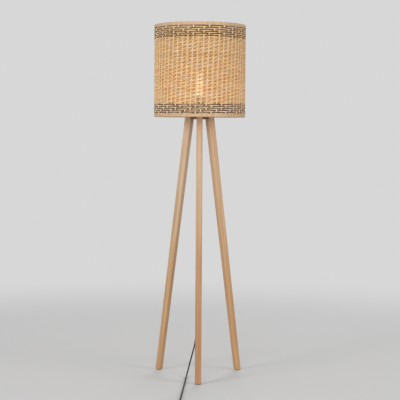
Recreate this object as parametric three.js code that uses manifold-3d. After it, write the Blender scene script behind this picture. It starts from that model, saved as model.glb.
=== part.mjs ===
// Floor lamp: a woven rattan drum shade on a splayed tripod of square hardwood legs.
// Millimetres, +Z up. The origin lies on the floor under the shade's axis, and the front leg points to -Y.
import * as THREE from "three";
import { mergeVertices } from "three/addons/utils/BufferGeometryUtils.js";
import Module from "manifold-3d";

const wasm = await Module();
wasm.setup();

// Clearances and counts
const seat = 0.3;
const overrun = 4;
const legCount = 3;
const roundSides = 20;
const smallSides = 12;
const drumSides = 54;

// Tripod
const hubBottom = 1127;
const hubHeight = 36;
const legHeadRadius = 47.4;
const legSplayDegrees = 7.67;
const legWidth = 27;
const legFootDepth = 22;
const legTopDepth = 32;
const legChamfer = 1.5;
const padThickness = 2.5;
const padRadius = 9;
const padNailRadius = 1.5;
const padNailLength = 14;

// Joint between a leg and the hub
const boltRise = 24;
const boltRadius = 3;
const boltHeadRadius = 8.5;
const boltHeadThickness = 2.6;
const boltSocketRadius = 2.9;
const boltSocketDepth = 1.6;
const insertRadius = 5;
const insertLength = 14;
const insertReach = 11;
const dowelRise = 9;
const dowelRadius = 4;
const dowelLength = 28;

// Threaded rod, its nut and the cord grip under the hub
const rodRadius = 5;
const rodBoreRadius = 3.6;
const nutRadius = 8.1;
const nutHeight = 4.5;
const gripRadius = 8.5;
const gripHeight = 16;
const gripThreadDepth = 9;
const sleeveLength = 32;
const sleeveBaseRadius = 5.6;

// Flexible cord
const cordDiameter = 6;
const cordSides = 8;
const sleeveWall = 1;
const ribDepth = 0.5;
const ribCount = 4;

// Lampholder
const holderCollarRadius = 9;
const holderCollarHeight = 7;
const holderCapHeight = 24;
const holderCapRadius = 19.5;
const holderWall = 2;
const holderLedgeDepth = 3.3;
const holderShellHeight = 34.4;
const holderSkirtRadius = 19.7;
const holderFlangeRadius = 23.5;
const holderFlangeThickness = 4.4;
const holderInsertRise = 10;
const terminalHoleRadius = 1.6;
const terminalSpacing = 14;
const threadSleeveRadius = 15;
const threadSleeveWall = 1.3;
const threadSleeveLength = 21;
const contactWidth = 6;
const contactLength = 12;
const contactSheet = 0.6;
const contactLift = 2.4;

// Bulb
const bulbLength = 130;
const bulbRadius = 15;
const bulbCapLength = 20.6;
const bulbCapRadius = 13.3;
const bulbCapSheet = 0.6;
const bulbThreadDepth = 0.5;
const bulbThreadCount = 5;
const bulbContactRadius = 4.5;
const bulbContactThickness = 1;
const bulbInsulatorHeight = 3.4;
const bulbGlassWall = 0.8;
const bulbNeckDepth = 7;
const bulbShoulder = 8;
const stemHeight = 36;
const stemRadius = 3;
const filamentCount = 4;
const filamentLength = 34;
const filamentRadius = 0.9;
const filamentCircle = 6.5;
const filamentWire = 0.6;

// Shade
const shadeRadius = 200;
const shadeBottom = 1136;
const shadeHeight = 400;
const weaveWall = 11;
const weaveHollow = 3.2;
const stakeCount = 54;
const stakeStartDegrees = -88.98;
const stakeLeanDegrees = 4.37;
const edgeBottomHeight = 13;
const edgeTopHeight = 14.5;
const bandBottomHeight = 44;
const bandTopHeight = 50.5;
const frameWireRadius = 2.5;
const frameInset = 5;
const strutRadius = 2;
const spiderWireRadius = 2.2;
const fitterRadius = 27.5;
const fitterThickness = 1.5;
const clampRadius = 27;
const clampHeight = 9;
const clampGripCount = 24;
const clampGripDepth = 0.9;

// Inline foot switch
const switchX = -76;
const switchInletY = -602;
const switchLength = 80;
const switchWidth = 46;
const switchHeight = 20;
const switchBaseHeight = 5;
const switchCorner = 20;
const switchBevel = 3;
const switchWall = 2.4;
const buttonRadius = 11.6;
const buttonProud = 2.5;
const buttonFlange = 1.8;
const buttonFlangeThickness = 2;
const buttonTravel = 2.2;
const springRadius = 7.5;
const springWall = 1.5;
const switchCordHeight = 6;
const switchReliefLength = 22;
const switchReliefRadius = 5;

// Coil of spare cord, its tie and the plug
const coilX = 51;
const coilY = -655;
const coilMiddleRadius = 36;
const coilTurnsPerLayer = 2;
const coilPitch = 6.8;
const coilLayerRise = 6.6;
const tieSheet = 0.6;
const tieWidth = 8;
const plugLead = 38;
const plugReliefLength = 24;
const plugReliefRadius = 5.2;
const plugLength = 36;
const plugWidth = 35.3;
const plugThickness = 13.7;
const plugShoulder = 13;
const plugBevel = 1.5;
const pinRadius = 2;
const pinLength = 19;
const pinSpacing = 18.6;

// Places that follow from the sizes
const cordRadius = cordDiameter / 2;
const hubTop = hubBottom + hubHeight;
const legBottom = padThickness + seat;
const legSlope = Math.tan(THREE.MathUtils.degToRad(legSplayDegrees));
const nutTop = hubBottom - seat;
const gripTop = nutTop - nutHeight - seat;
const sleeveTop = gripTop - gripHeight - seat;
const sleeveTip = sleeveTop - sleeveLength;
const rodBottom = gripTop - gripThreadDepth + seat;
const rodTop = hubTop + seat + holderCollarHeight;
const capBottom = hubTop + seat;
const capTop = capBottom + holderCapHeight;
const ledgeTop = capTop - holderLedgeDepth;
const insertTop = capTop + holderInsertRise;
const insertFlangeRadius = holderCapRadius - holderWall - seat;
const insertBossRadius = threadSleeveRadius + 2 * seat;
const shellBottom = capTop + seat;
const shellTop = shellBottom + holderShellHeight;
const flangeTop = shellBottom + holderFlangeThickness;
const fitterBottom = flangeTop + seat;
const fitterTop = fitterBottom + fitterThickness;
const fitterBore = holderSkirtRadius + 2 * seat;
const contactTop = insertTop + seat + contactSheet + contactLift;
const bulbBottom = contactTop + seat;
const bulbCapBottom = bulbBottom + bulbContactThickness + bulbInsulatorHeight + 2 * seat;
const bulbCapTop = bulbCapBottom + bulbCapLength;
const bulbTop = bulbBottom + bulbLength;
const glassBottom = bulbCapTop - bulbNeckDepth;
const glassNeckRadius = bulbCapRadius - bulbThreadDepth - bulbCapSheet - seat;
const frameRingRadius = shadeRadius - weaveWall - seat - frameWireRadius;
const frameRingBottomZ = shadeBottom + frameInset;
const frameRingTopZ = shadeBottom + shadeHeight - frameInset;
const coilOuterRadius = coilMiddleRadius + (coilTurnsPerLayer * coilPitch) / 2;
const coilInnerRadius = coilMiddleRadius - (coilTurnsPerLayer * coilPitch) / 2;
const coilBaseZ = cordRadius + seat + tieSheet;
const coilTopZ = coilBaseZ + coilLayerRise;
const coilStartX = coilX - coilOuterRadius;
const coilEndX = coilX + coilOuterRadius;
const coilFaceY = coilY - cordDiameter;
const reliefTipRadius = cordRadius + sleeveWall;

// Materials
const wood = new THREE.MeshStandardMaterial({ color: 0xd6a878, roughness: 0.55, metalness: 0 });
const rattan = new THREE.MeshStandardMaterial({ color: 0xdcb07e, roughness: 0.7, metalness: 0 });
const darkRattan = new THREE.MeshStandardMaterial({ color: 0x7a573a, roughness: 0.7, metalness: 0 });
const blackPlastic = new THREE.MeshStandardMaterial({ color: 0x1c1b1a, roughness: 0.35, metalness: 0 });
const blackFlex = new THREE.MeshStandardMaterial({ color: 0x222120, roughness: 0.6, metalness: 0 });
const steel = new THREE.MeshStandardMaterial({ color: 0xb9b9b6, roughness: 0.35, metalness: 1 });
const whiteWire = new THREE.MeshStandardMaterial({ color: 0xe4dccb, roughness: 0.5, metalness: 0 });
const brass = new THREE.MeshStandardMaterial({ color: 0xc9a85a, roughness: 0.35, metalness: 1 });
const ceramic = new THREE.MeshStandardMaterial({ color: 0xe9e5dc, roughness: 0.5, metalness: 0 });
const glass = new THREE.MeshStandardMaterial({ color: 0xf6efe0, roughness: 0.05, metalness: 0 });
const glow = new THREE.MeshStandardMaterial({ color: 0xffd890, roughness: 0.5, metalness: 0 });
const felt = new THREE.MeshStandardMaterial({ color: 0x6a5a4a, roughness: 0.95, metalness: 0 });

// Turns a closed geometry into a solid that can be cut and joined.
function solidOf(geometry) {
  const bare = geometry.clone();
  bare.deleteAttribute("normal");
  bare.deleteAttribute("uv");
  const merged = mergeVertices(bare);
  return new wasm.Manifold(
    new wasm.Mesh({
      numProp: 3,
      vertProperties: new Float32Array(merged.attributes.position.array),
      triVerts: new Uint32Array(merged.index.array),
    }),
  );
}

// Turns a solid back into a geometry.
function geometryOf(solid) {
  const mesh = solid.getMesh();
  const geometry = new THREE.BufferGeometry();
  geometry.setAttribute("position", new THREE.BufferAttribute(mesh.vertProperties, 3));
  geometry.setIndex(new THREE.BufferAttribute(mesh.triVerts, 1));
  geometry.computeVertexNormals();
  return geometry;
}

// A body turned about Z from [radius, height] points, which end on the axis or close on themselves.
function turned(profile, sides = roundSides) {
  const points = profile.map(([radius, height]) => new THREE.Vector2(radius, height));
  return new THREE.LatheGeometry(points, sides).rotateX(Math.PI / 2);
}

// A straight round bar along Z from low to high.
function bar(radius, low, high, sides = roundSides) {
  return turned([[0, low], [radius, low], [radius, high], [0, high]], sides);
}

// A tube along Z, as a closed ring profile.
function tube(outer, inner, low, high, sides = roundSides) {
  return turned([[inner, low], [outer, low], [outer, high], [inner, high], [inner, low]], sides);
}

// A round bar between two points.
function strut(from, to, radius, sides = smallSides) {
  const along = new THREE.Vector3().subVectors(to, from);
  const geometry = bar(radius, 0, along.length(), sides);
  const turn = new THREE.Quaternion().setFromUnitVectors(
    new THREE.Vector3(0, 0, 1),
    along.clone().normalize(),
  );
  return geometry.applyQuaternion(turn).translate(from.x, from.y, from.z);
}

function circleShape(radius, sides) {
  const shape = new THREE.Shape();
  for (let i = 0; i < sides; i++) {
    const angle = (2 * Math.PI * i) / sides;
    const [x, y] = [radius * Math.cos(angle), radius * Math.sin(angle)];
    if (i === 0) shape.moveTo(x, y);
    else shape.lineTo(x, y);
  }
  shape.closePath();
  return shape;
}

function roundedRectangle(length, width, corner) {
  const [x, y] = [length / 2, width / 2];
  const shape = new THREE.Shape();
  shape.moveTo(x, y - corner);
  shape.absarc(x - corner, y - corner, corner, 0, Math.PI / 2);
  shape.absarc(corner - x, y - corner, corner, Math.PI / 2, Math.PI);
  shape.absarc(corner - x, corner - y, corner, Math.PI, 1.5 * Math.PI);
  shape.absarc(x - corner, corner - y, corner, 1.5 * Math.PI, 2 * Math.PI);
  return shape;
}

function chamferedRectangle(length, width, chamfer) {
  const [x, y] = [length / 2, width / 2];
  return new THREE.Shape([
    new THREE.Vector2(x, chamfer - y),
    new THREE.Vector2(x, y - chamfer),
    new THREE.Vector2(x - chamfer, y),
    new THREE.Vector2(chamfer - x, y),
    new THREE.Vector2(-x, y - chamfer),
    new THREE.Vector2(-x, chamfer - y),
    new THREE.Vector2(chamfer - x, -y),
    new THREE.Vector2(x - chamfer, -y),
  ]);
}

function extruded(shape, depth, curveSegments = 6) {
  return new THREE.ExtrudeGeometry(shape, { depth, bevelEnabled: false, curveSegments });
}

// A tube that follows a path, with flat ends square to it.
function swept(path, sides, steps) {
  return new THREE.ExtrudeGeometry(circleShape(cordRadius, sides), {
    extrudePath: path,
    steps,
    bevelEnabled: false,
  });
}

function part(name, geometry, material) {
  const mesh = new THREE.Mesh(geometry, material);
  mesh.name = name;
  return mesh;
}

const group = new THREE.Group();

// Legs, and what holds each of them to the hub. Each leg is drawn along +X and turned to its place.
function legCentreAt(z) {
  return legHeadRadius + legSlope * (hubTop - z);
}

function legDepthAt(z) {
  return legFootDepth + ((legTopDepth - legFootDepth) * z) / hubTop;
}

function legInnerAt(z) {
  return legCentreAt(z) - legDepthAt(z) / 2;
}

// The frame of a hole through a leg: its origin is on the hub's face and its X points square out of it.
function jointFrame(rise) {
  const height = hubBottom + rise;
  const faceSlope = legSlope + (legTopDepth - legFootDepth) / (2 * hubTop);
  const frame = new THREE.Matrix4().makeRotationY(-Math.atan(faceSlope));
  frame.setPosition(legInnerAt(height) - seat / 2, 0, height);
  return frame;
}

// A round bar along the X axis of a joint frame.
function jointBar(radius, low, high, frame, sides = smallSides) {
  return bar(radius, low, high, sides).rotateY(Math.PI / 2).applyMatrix4(frame);
}

function legBlank() {
  const blank = extruded(chamferedRectangle(legFootDepth, legWidth, legChamfer), hubTop - legBottom);
  const position = blank.attributes.position;
  for (let i = 0; i < position.count; i++) {
    const z = legBottom + position.getZ(i);
    const x = position.getX(i);
    const growth = (Math.sign(x) * (legDepthAt(z) - legFootDepth)) / 2;
    position.setXYZ(i, legCentreAt(z) + x + growth, position.getY(i), z);
  }
  return blank;
}

function legGeometry() {
  const through = legTopDepth + overrun;
  const boltHole = jointBar(boltRadius + seat, -overrun, through, jointFrame(boltRise));
  const dowelHole = jointBar(
    dowelRadius + seat,
    -overrun,
    dowelLength / 2 + seat,
    jointFrame(dowelRise),
  );
  const nailHole = bar(
    padNailRadius + seat,
    legBottom - overrun,
    padThickness + padNailLength + seat,
    smallSides,
  ).translate(legCentreAt(legBottom), 0, 0);
  return geometryOf(
    solidOf(legBlank())
      .subtract(solidOf(boltHole))
      .subtract(solidOf(dowelHole))
      .subtract(solidOf(nailHole)),
  );
}

// A furniture bolt with a wide flat head and a hexagon socket.
function boltGeometry() {
  const frame = jointFrame(boltRise);
  const face = legTopDepth * Math.cos(Math.atan(legSlope)) + 2 * seat;
  const shank = jointBar(boltRadius, -insertReach, face + boltHeadThickness / 2, frame);
  const head = jointBar(boltHeadRadius, face, face + boltHeadThickness, frame, roundSides);
  const socket = jointBar(
    boltSocketRadius,
    face + boltHeadThickness - boltSocketDepth,
    face + boltHeadThickness + overrun,
    frame,
    6,
  );
  return geometryOf(solidOf(shank).add(solidOf(head)).subtract(solidOf(socket)));
}

function insertGeometry() {
  return tube(insertRadius, boltRadius + seat, -insertLength - seat, -seat, smallSides)
    .rotateY(Math.PI / 2)
    .applyMatrix4(jointFrame(boltRise));
}

function padGeometry() {
  const pad = bar(padRadius, 0, padThickness);
  const nail = bar(padNailRadius, padThickness / 2, padThickness + padNailLength, smallSides);
  return geometryOf(solidOf(pad).add(solidOf(nail))).translate(legCentreAt(legBottom), 0, 0);
}

const legDegrees = [
  ["front", -90],
  ["right", 30],
  ["left", 150],
];

for (const [side, degrees] of legDegrees) {
  const leg = new THREE.Group();
  leg.add(
    part("leg_" + side, legGeometry(), wood),
    part("leg_bolt_" + side, boltGeometry(), steel),
    part("leg_insert_" + side, insertGeometry(), brass),
    part(
      "leg_dowel_" + side,
      jointBar(dowelRadius, -dowelLength / 2, dowelLength / 2, jointFrame(dowelRise)),
      wood,
    ),
    part("foot_pad_" + side, padGeometry(), felt),
  );
  leg.rotation.z = THREE.MathUtils.degToRad(degrees);
  group.add(leg);
}

// Hub: a six-sided wooden block whose faces lean with the legs.
function hubGeometry() {
  const corner = 1 / Math.cos(Math.PI / (2 * legCount));
  const block = new THREE.CylinderGeometry(
    (legInnerAt(hubTop) - seat) * corner,
    (legInnerAt(hubBottom) - seat) * corner,
    hubHeight,
    2 * legCount,
  );
  block.rotateX(Math.PI / 2).rotateZ(Math.PI / (2 * legCount));
  block.translate(0, 0, hubBottom + hubHeight / 2);
  let hub = solidOf(block);
  hub = hub.subtract(solidOf(bar(rodRadius + seat, hubBottom - overrun, hubTop + overrun)));
  for (const [, degrees] of legDegrees) {
    const turn = new THREE.Matrix4().makeRotationZ(THREE.MathUtils.degToRad(degrees));
    const insertPocket = jointBar(
      insertRadius + seat,
      -insertLength - 2 * seat,
      overrun,
      jointFrame(boltRise),
    );
    const dowelHole = jointBar(
      dowelRadius + seat,
      -dowelLength / 2 - seat,
      overrun,
      jointFrame(dowelRise),
    );
    hub = hub.subtract(solidOf(insertPocket.applyMatrix4(turn)));
    hub = hub.subtract(solidOf(dowelHole.applyMatrix4(turn)));
  }
  return geometryOf(hub);
}

group.add(part("hub", hubGeometry(), wood));

// Hollow threaded rod through the hub, its nut, the cord grip and the flex inside it.
function nutGeometry() {
  const bore = bar(rodRadius + seat, nutTop - nutHeight - overrun, nutTop + overrun);
  const blank = bar(nutRadius, nutTop - nutHeight, nutTop, 6);
  return geometryOf(solidOf(blank).subtract(solidOf(bore)));
}

function gripGeometry() {
  const low = gripTop - gripHeight;
  return turned([
    [cordRadius + seat, low],
    [gripRadius - sleeveWall, low],
    [gripRadius, low + sleeveWall],
    [gripRadius, gripTop],
    [rodRadius + seat, gripTop],
    [rodRadius + seat, gripTop - gripThreadDepth],
    [cordRadius + seat, gripTop - gripThreadDepth],
    [cordRadius + seat, low],
  ]);
}

// A tapered strain relief with ribs, its wide end at zero and its tip at -length.
function reliefGeometry(length, baseRadius) {
  const profile = [[0, -length], [reliefTipRadius, -length]];
  const pitch = length / (ribCount + 1);
  const taper = (baseRadius - reliefTipRadius) / length;
  for (let i = 1; i <= ribCount; i++) {
    const z = -length + i * pitch;
    const radius = reliefTipRadius + taper * (z + length);
    profile.push(
      [radius, z - pitch / 3],
      [radius - ribDepth, z - pitch / 4],
      [radius - ribDepth, z],
      [radius, z + pitch / 8],
    );
  }
  profile.push([baseRadius, 0], [0, 0]);
  return turned(profile, smallSides);
}

group.add(
  part("threaded_rod", tube(rodRadius, rodBoreRadius, rodBottom, rodTop), steel),
  part("rod_nut", nutGeometry(), steel),
  part("cord_grip", gripGeometry(), blackPlastic),
  part(
    "cord_grip_sleeve",
    reliefGeometry(sleeveLength, sleeveBaseRadius).translate(0, 0, sleeveTop),
    blackFlex,
  ),
  part("inner_flex", bar(cordRadius, sleeveTop + seat, ledgeTop, smallSides), blackFlex),
);

// Lampholder for a screw bulb.
function holderCapGeometry() {
  const shoulder = capTop - holderCapHeight / 4;
  const inner = holderCapRadius - holderWall;
  return turned([
    [rodRadius + seat, capBottom],
    [holderCollarRadius, capBottom],
    [holderCollarRadius, capBottom + holderCollarHeight],
    [holderCapRadius, shoulder],
    [holderCapRadius, capTop],
    [inner, capTop],
    [inner, ledgeTop],
    [inner - holderWall, ledgeTop],
    [inner - holderWall, shoulder],
    [holderCollarRadius, capBottom + holderCollarHeight + holderWall],
    [rodRadius + seat, capBottom + holderCollarHeight + holderWall],
    [rodRadius + seat, capBottom],
  ]);
}

function holderInsertGeometry() {
  const block = turned([
    [0, ledgeTop + seat],
    [insertFlangeRadius, ledgeTop + seat],
    [insertFlangeRadius, capTop],
    [insertBossRadius, capTop],
    [insertBossRadius, insertTop],
    [0, insertTop],
  ]);
  let insert = solidOf(block);
  for (const side of [-1, 1]) {
    const hole = bar(terminalHoleRadius, ledgeTop - overrun, insertTop + overrun, smallSides);
    insert = insert.subtract(solidOf(hole.translate((side * terminalSpacing) / 2, 0, 0)));
  }
  return geometryOf(insert);
}

function holderShellGeometry() {
  const inner = insertBossRadius + seat;
  return turned([
    [inner, shellBottom],
    [holderCapRadius, shellBottom],
    [holderFlangeRadius, shellBottom + holderFlangeThickness / 2],
    [holderFlangeRadius, flangeTop],
    [holderSkirtRadius, flangeTop],
    [holderSkirtRadius, shellTop - holderWall],
    [holderSkirtRadius - holderWall, shellTop],
    [inner, shellTop],
    [inner, shellBottom],
  ]);
}

// A bent brass tongue under the bulb's centre contact.
function contactGeometry() {
  const low = insertTop + seat;
  const [back, front] = [-contactLength / 2, contactLength / 2];
  const outline = new THREE.Shape([
    new THREE.Vector2(back, low),
    new THREE.Vector2(back + contactSheet, low),
    new THREE.Vector2(front / 2, contactTop - contactSheet),
    new THREE.Vector2(front, contactTop - 2 * contactSheet),
    new THREE.Vector2(front, contactTop - contactSheet),
    new THREE.Vector2(front / 2, contactTop),
    new THREE.Vector2(0, contactTop),
    new THREE.Vector2(back, low + 2 * contactSheet),
  ]);
  return extruded(outline, contactWidth)
    .translate(0, 0, -contactWidth / 2)
    .rotateX(Math.PI / 2);
}

group.add(
  part("holder_cap", holderCapGeometry(), blackPlastic),
  part("holder_insert", holderInsertGeometry(), ceramic),
  part("holder_shell", holderShellGeometry(), blackPlastic),
  part(
    "holder_thread_sleeve",
    tube(
      threadSleeveRadius,
      threadSleeveRadius - threadSleeveWall,
      insertTop + seat,
      insertTop + seat + threadSleeveLength,
    ),
    brass,
  ),
  part("holder_contact", contactGeometry(), brass),
);

// Ring that screws down on the lampholder's skirt and clamps the shade's fitter.
function clampRingGeometry() {
  const outline = new THREE.Shape();
  for (let i = 0; i < 2 * clampGripCount; i++) {
    const angle = (Math.PI * i) / clampGripCount;
    const radius = i % 2 ? clampRadius - clampGripDepth : clampRadius;
    const [x, y] = [radius * Math.cos(angle), radius * Math.sin(angle)];
    if (i === 0) outline.moveTo(x, y);
    else outline.lineTo(x, y);
  }
  outline.closePath();
  const low = fitterTop + seat;
  const blank = extruded(outline, clampHeight).translate(0, 0, low);
  const bore = bar(holderSkirtRadius + seat, low - overrun, low + clampHeight + overrun);
  return geometryOf(solidOf(blank).subtract(solidOf(bore)));
}

group.add(part("shade_clamp_ring", clampRingGeometry(), blackPlastic));

// Bulb: screw cap, glass insulator, centre contact, envelope, stem and filament cage.
function bulbCapGeometry() {
  const root = bulbCapRadius - bulbThreadDepth;
  const inner = root - bulbCapSheet;
  const pitch = bulbCapLength / (bulbThreadCount + 2);
  const profile = [[bulbContactRadius, bulbCapBottom], [root, bulbCapBottom]];
  for (let i = 0; i < bulbThreadCount; i++) {
    const low = bulbCapBottom + (i + 1) * pitch;
    profile.push([root, low], [bulbCapRadius, low + pitch / 2]);
  }
  profile.push(
    [root, bulbCapTop - pitch],
    [root, bulbCapTop],
    [inner, bulbCapTop],
    [inner, bulbCapBottom + bulbCapSheet],
    [bulbContactRadius, bulbCapBottom + bulbCapSheet],
    [bulbContactRadius, bulbCapBottom],
  );
  return turned(profile);
}

function insulatorGeometry() {
  const low = bulbBottom + bulbContactThickness + seat;
  return turned([
    [0, low],
    [bulbContactRadius, low],
    [bulbCapRadius - 2 * bulbThreadDepth, low + bulbInsulatorHeight],
    [0, low + bulbInsulatorHeight],
  ]);
}

// The tubular envelope's outer and inner walls follow one curve, from the neck to the crown.
function glassGeometry() {
  const crownSteps = 6;
  const shoulderSteps = 4;
  const centre = bulbTop - bulbRadius;
  const wall = (shrink) => {
    const [radius, neck] = [bulbRadius - shrink, glassNeckRadius - shrink];
    const points = [[neck, glassBottom]];
    for (let i = 0; i <= shoulderSteps; i++) {
      const share = i / shoulderSteps;
      const swell = share * share * (3 - 2 * share);
      points.push([neck + (radius - neck) * swell, bulbCapTop + bulbShoulder * share]);
    }
    for (let i = 0; i <= crownSteps; i++) {
      const angle = (Math.PI * i) / (2 * crownSteps);
      const across = i === crownSteps ? 0 : radius * Math.cos(angle);
      points.push([across, centre + radius * Math.sin(angle)]);
    }
    return points;
  };
  return turned([...wall(bulbGlassWall).reverse(), ...wall(0)]);
}

function stemGeometry() {
  const foot = glassNeckRadius - bulbGlassWall - seat;
  return turned(
    [
      [0, glassBottom],
      [foot, glassBottom],
      [foot, glassBottom + bulbGlassWall],
      [stemRadius + bulbGlassWall, glassBottom + stemHeight / 3],
      [stemRadius, glassBottom + stemHeight / 2],
      [stemRadius, glassBottom + stemHeight - bulbGlassWall],
      [0, glassBottom + stemHeight],
    ],
    smallSides,
  );
}

function filamentGeometry() {
  const low = glassBottom + stemHeight + seat;
  const [stickLow, stickHigh] = [low + stemRadius, low + stemRadius + filamentLength];
  let cage = solidOf(bar(filamentWire, low, stickHigh + filamentWire, 6));
  for (let i = 0; i < filamentCount; i++) {
    const angle = (2 * Math.PI * (i + 0.5)) / filamentCount;
    const at = (z, r) => new THREE.Vector3(r * Math.cos(angle), r * Math.sin(angle), z);
    const stick = strut(at(stickLow, filamentCircle), at(stickHigh, filamentCircle), filamentRadius, 6);
    cage = cage.add(solidOf(stick));
    for (const z of [stickLow + filamentWire, stickHigh - filamentWire]) {
      cage = cage.add(solidOf(strut(at(z, 0), at(z, filamentCircle), filamentWire, 6)));
    }
  }
  return geometryOf(cage);
}

group.add(
  part("bulb_contact", bar(bulbContactRadius, bulbBottom, bulbBottom + bulbContactThickness), brass),
  part("bulb_insulator", insulatorGeometry(), blackPlastic),
  part("bulb_cap", bulbCapGeometry(), steel),
  part("bulb_glass", glassGeometry(), glass),
  part("bulb_stem", stemGeometry(), glass),
  part("bulb_filaments", filamentGeometry(), glow),
);

// Shade frame: a spider with a fitter ring, two wire rings and three upright wires.
function spiderGeometry() {
  const knee = fitterRadius - spiderWireRadius / 2;
  const kneeHeight = fitterTop - spiderWireRadius;
  let spider = solidOf(tube(fitterRadius, fitterBore, fitterBottom, fitterTop));
  const drop = kneeHeight - frameRingBottomZ;
  const slant = Math.hypot(frameRingRadius - knee, drop);
  const reach = frameWireRadius + seat;
  const endRadius = frameRingRadius - (reach * (frameRingRadius - knee)) / slant;
  const endHeight = frameRingBottomZ + (reach * drop) / slant;
  for (const [, degrees] of legDegrees) {
    const angle = THREE.MathUtils.degToRad(degrees + 180);
    const at = (r, z) => new THREE.Vector3(r * Math.cos(angle), r * Math.sin(angle), z);
    const arm = strut(at(knee, kneeHeight), at(endRadius, endHeight), spiderWireRadius, 8);
    spider = spider.add(solidOf(arm));
  }
  return geometryOf(spider);
}

function frameRing(z) {
  return new THREE.TorusGeometry(frameRingRadius, frameWireRadius, 6, drumSides)
    .rotateZ(Math.PI / 2)
    .translate(0, 0, z);
}

const shade = new THREE.Group();
shade.add(
  part("shade_spider", spiderGeometry(), whiteWire),
  part("shade_ring_bottom", frameRing(frameRingBottomZ), whiteWire),
  part("shade_ring_top", frameRing(frameRingTopZ), whiteWire),
);

for (const [side, degrees] of legDegrees) {
  const angle = THREE.MathUtils.degToRad(degrees);
  const upright = bar(
    strutRadius,
    frameRingBottomZ + frameWireRadius + seat,
    frameRingTopZ - frameWireRadius - seat,
    8,
  ).translate(frameRingRadius * Math.cos(angle), frameRingRadius * Math.sin(angle), 0);
  shade.add(part("shade_upright_" + side, upright, whiteWire));
}

// A woven wall swells at each stake and is thinner between the stakes, which lean round the drum.
function wovenGeometry(low, high) {
  const stakeShares = [-0.2, 0.2, 0.5];
  const hollows = [0, 0, weaveHollow];
  const columns = stakeCount * stakeShares.length;
  const rings = [
    [low, shadeRadius, -1],
    [high, shadeRadius, -1],
    [high, shadeRadius - weaveWall, 1],
    [low, shadeRadius - weaveWall, 1],
  ];
  const positions = [];
  for (const [z, radius, side] of rings) {
    const lean = (stakeLeanDegrees * (z - shadeBottom)) / shadeHeight;
    for (let i = 0; i < columns; i++) {
      const place = i % stakeShares.length;
      const stake = (i - place) / stakeShares.length + stakeShares[place];
      const angle = THREE.MathUtils.degToRad(
        stakeStartDegrees + lean + (360 * stake) / stakeCount,
      );
      const reach = radius + side * hollows[place];
      positions.push(reach * Math.cos(angle), reach * Math.sin(angle), z);
    }
  }
  const corners = [];
  for (let ring = 0; ring < rings.length; ring++) {
    const over = (ring + 1) % rings.length;
    for (let i = 0; i < columns; i++) {
      const next = (i + 1) % columns;
      const [a, b] = [ring * columns + i, ring * columns + next];
      const [c, d] = [over * columns + next, over * columns + i];
      corners.push(a, b, c, a, c, d);
    }
  }
  const geometry = new THREE.BufferGeometry();
  geometry.setAttribute("position", new THREE.Float32BufferAttribute(positions, 3));
  geometry.setIndex(corners);
  geometry.computeVertexNormals();
  return geometry;
}

// Woven drum, in five closed bands: two wrapped edgings, two dark bands and the plain middle.
const drumBands = [
  ["shade_edging_bottom", edgeBottomHeight, rattan],
  ["shade_band_bottom", bandBottomHeight, darkRattan],
  [
    "shade_weave",
    shadeHeight - edgeBottomHeight - bandBottomHeight - bandTopHeight - edgeTopHeight,
    rattan,
  ],
  ["shade_band_top", bandTopHeight, darkRattan],
  ["shade_edging_top", edgeTopHeight, rattan],
];
let bandLow = shadeBottom;
for (const [name, height, material] of drumBands) {
  const top = bandLow + height;
  const gap = name === "shade_edging_top" ? 0 : seat;
  const band = name.startsWith("shade_edging")
    ? tube(shadeRadius, shadeRadius - weaveWall, bandLow, top - gap, drumSides)
    : wovenGeometry(bandLow, top - gap);
  shade.add(part(name, band, material));
  bandLow = top;
}
group.add(shade);

// Cord from the grip: down the middle of the tripod, over to the left and along the floor to the switch.
const cordDropRoute = [
  [0, 0, sleeveTip - seat],
  [0, 0, 1040],
  [-0.3, 0, 940],
  [-1, 0, 800],
  [-2, 0.5, 650],
  [-4, 1, 500],
  [-6.5, 1.5, 380],
  [-9.5, 1.5, 280],
  [-14, 1, 195],
  [-20, 0, 131],
  [-27.5, -5, 97],
  [-36, -14, 63.5],
  [-44.7, -32, 32],
  [-49, -48, 18],
  [-52.8, -72, 7],
  [-54.8, -98, 3.5],
  [-56.5, -124, 3.1],
  [-59.7, -200, 3],
  [-63, -274, 3],
  [-66.5, -345, 3],
  [-70.3, -415, 3],
  [-73.2, -482, 3],
  [-75.2, -530, 3.1],
  [-75.9, -552, 3.6],
  [switchX, switchInletY + switchReliefLength + overrun * 2, switchCordHeight],
  [switchX, switchInletY + switchReliefLength + seat * 2, switchCordHeight],
];

// Cord from the switch: a turn back along the floor into the coil.
const switchOutletY = switchInletY - switchLength;
const cordReturnRoute = [
  [switchX, switchOutletY - switchReliefLength - seat * 2, switchCordHeight],
  [switchX, switchOutletY - switchReliefLength - overrun * 2, switchCordHeight],
  [-75.6, -726, 3.5],
  [-70.1, -740, 3],
  [-58.3, -753.2, 3],
  [-42, -759.6, 3],
  [-25.2, -758.6, 3],
  [-9.4, -749.6, 3],
  [1.5, -735, 3],
  [6.6, -718, 3],
  [coilStartX, -698, 3.2],
  [coilStartX, coilFaceY - overrun * 2, coilBaseZ],
  [coilStartX, coilFaceY - seat, coilBaseZ],
];

// Cord from the coil's upper layer down to the plug.
const plugReliefTipY = coilFaceY - seat - plugLead;
const plugLeadRoute = [
  [coilEndX, coilFaceY - seat, coilTopZ],
  [coilEndX, coilFaceY - plugLead / 5, coilTopZ],
  [coilEndX, coilFaceY - plugLead / 2, (coilTopZ + plugThickness / 2) / 2],
  [coilEndX, plugReliefTipY + plugLead / 5, plugThickness / 2],
  [coilEndX, plugReliefTipY, plugThickness / 2],
];

function cordPath(route) {
  const points = route.map(([x, y, z]) => new THREE.Vector3(x, y, z));
  const path = new THREE.CatmullRomCurve3(points, false, "centripetal");
  path.arcLengthDivisions = 1200;
  return path;
}

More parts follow.
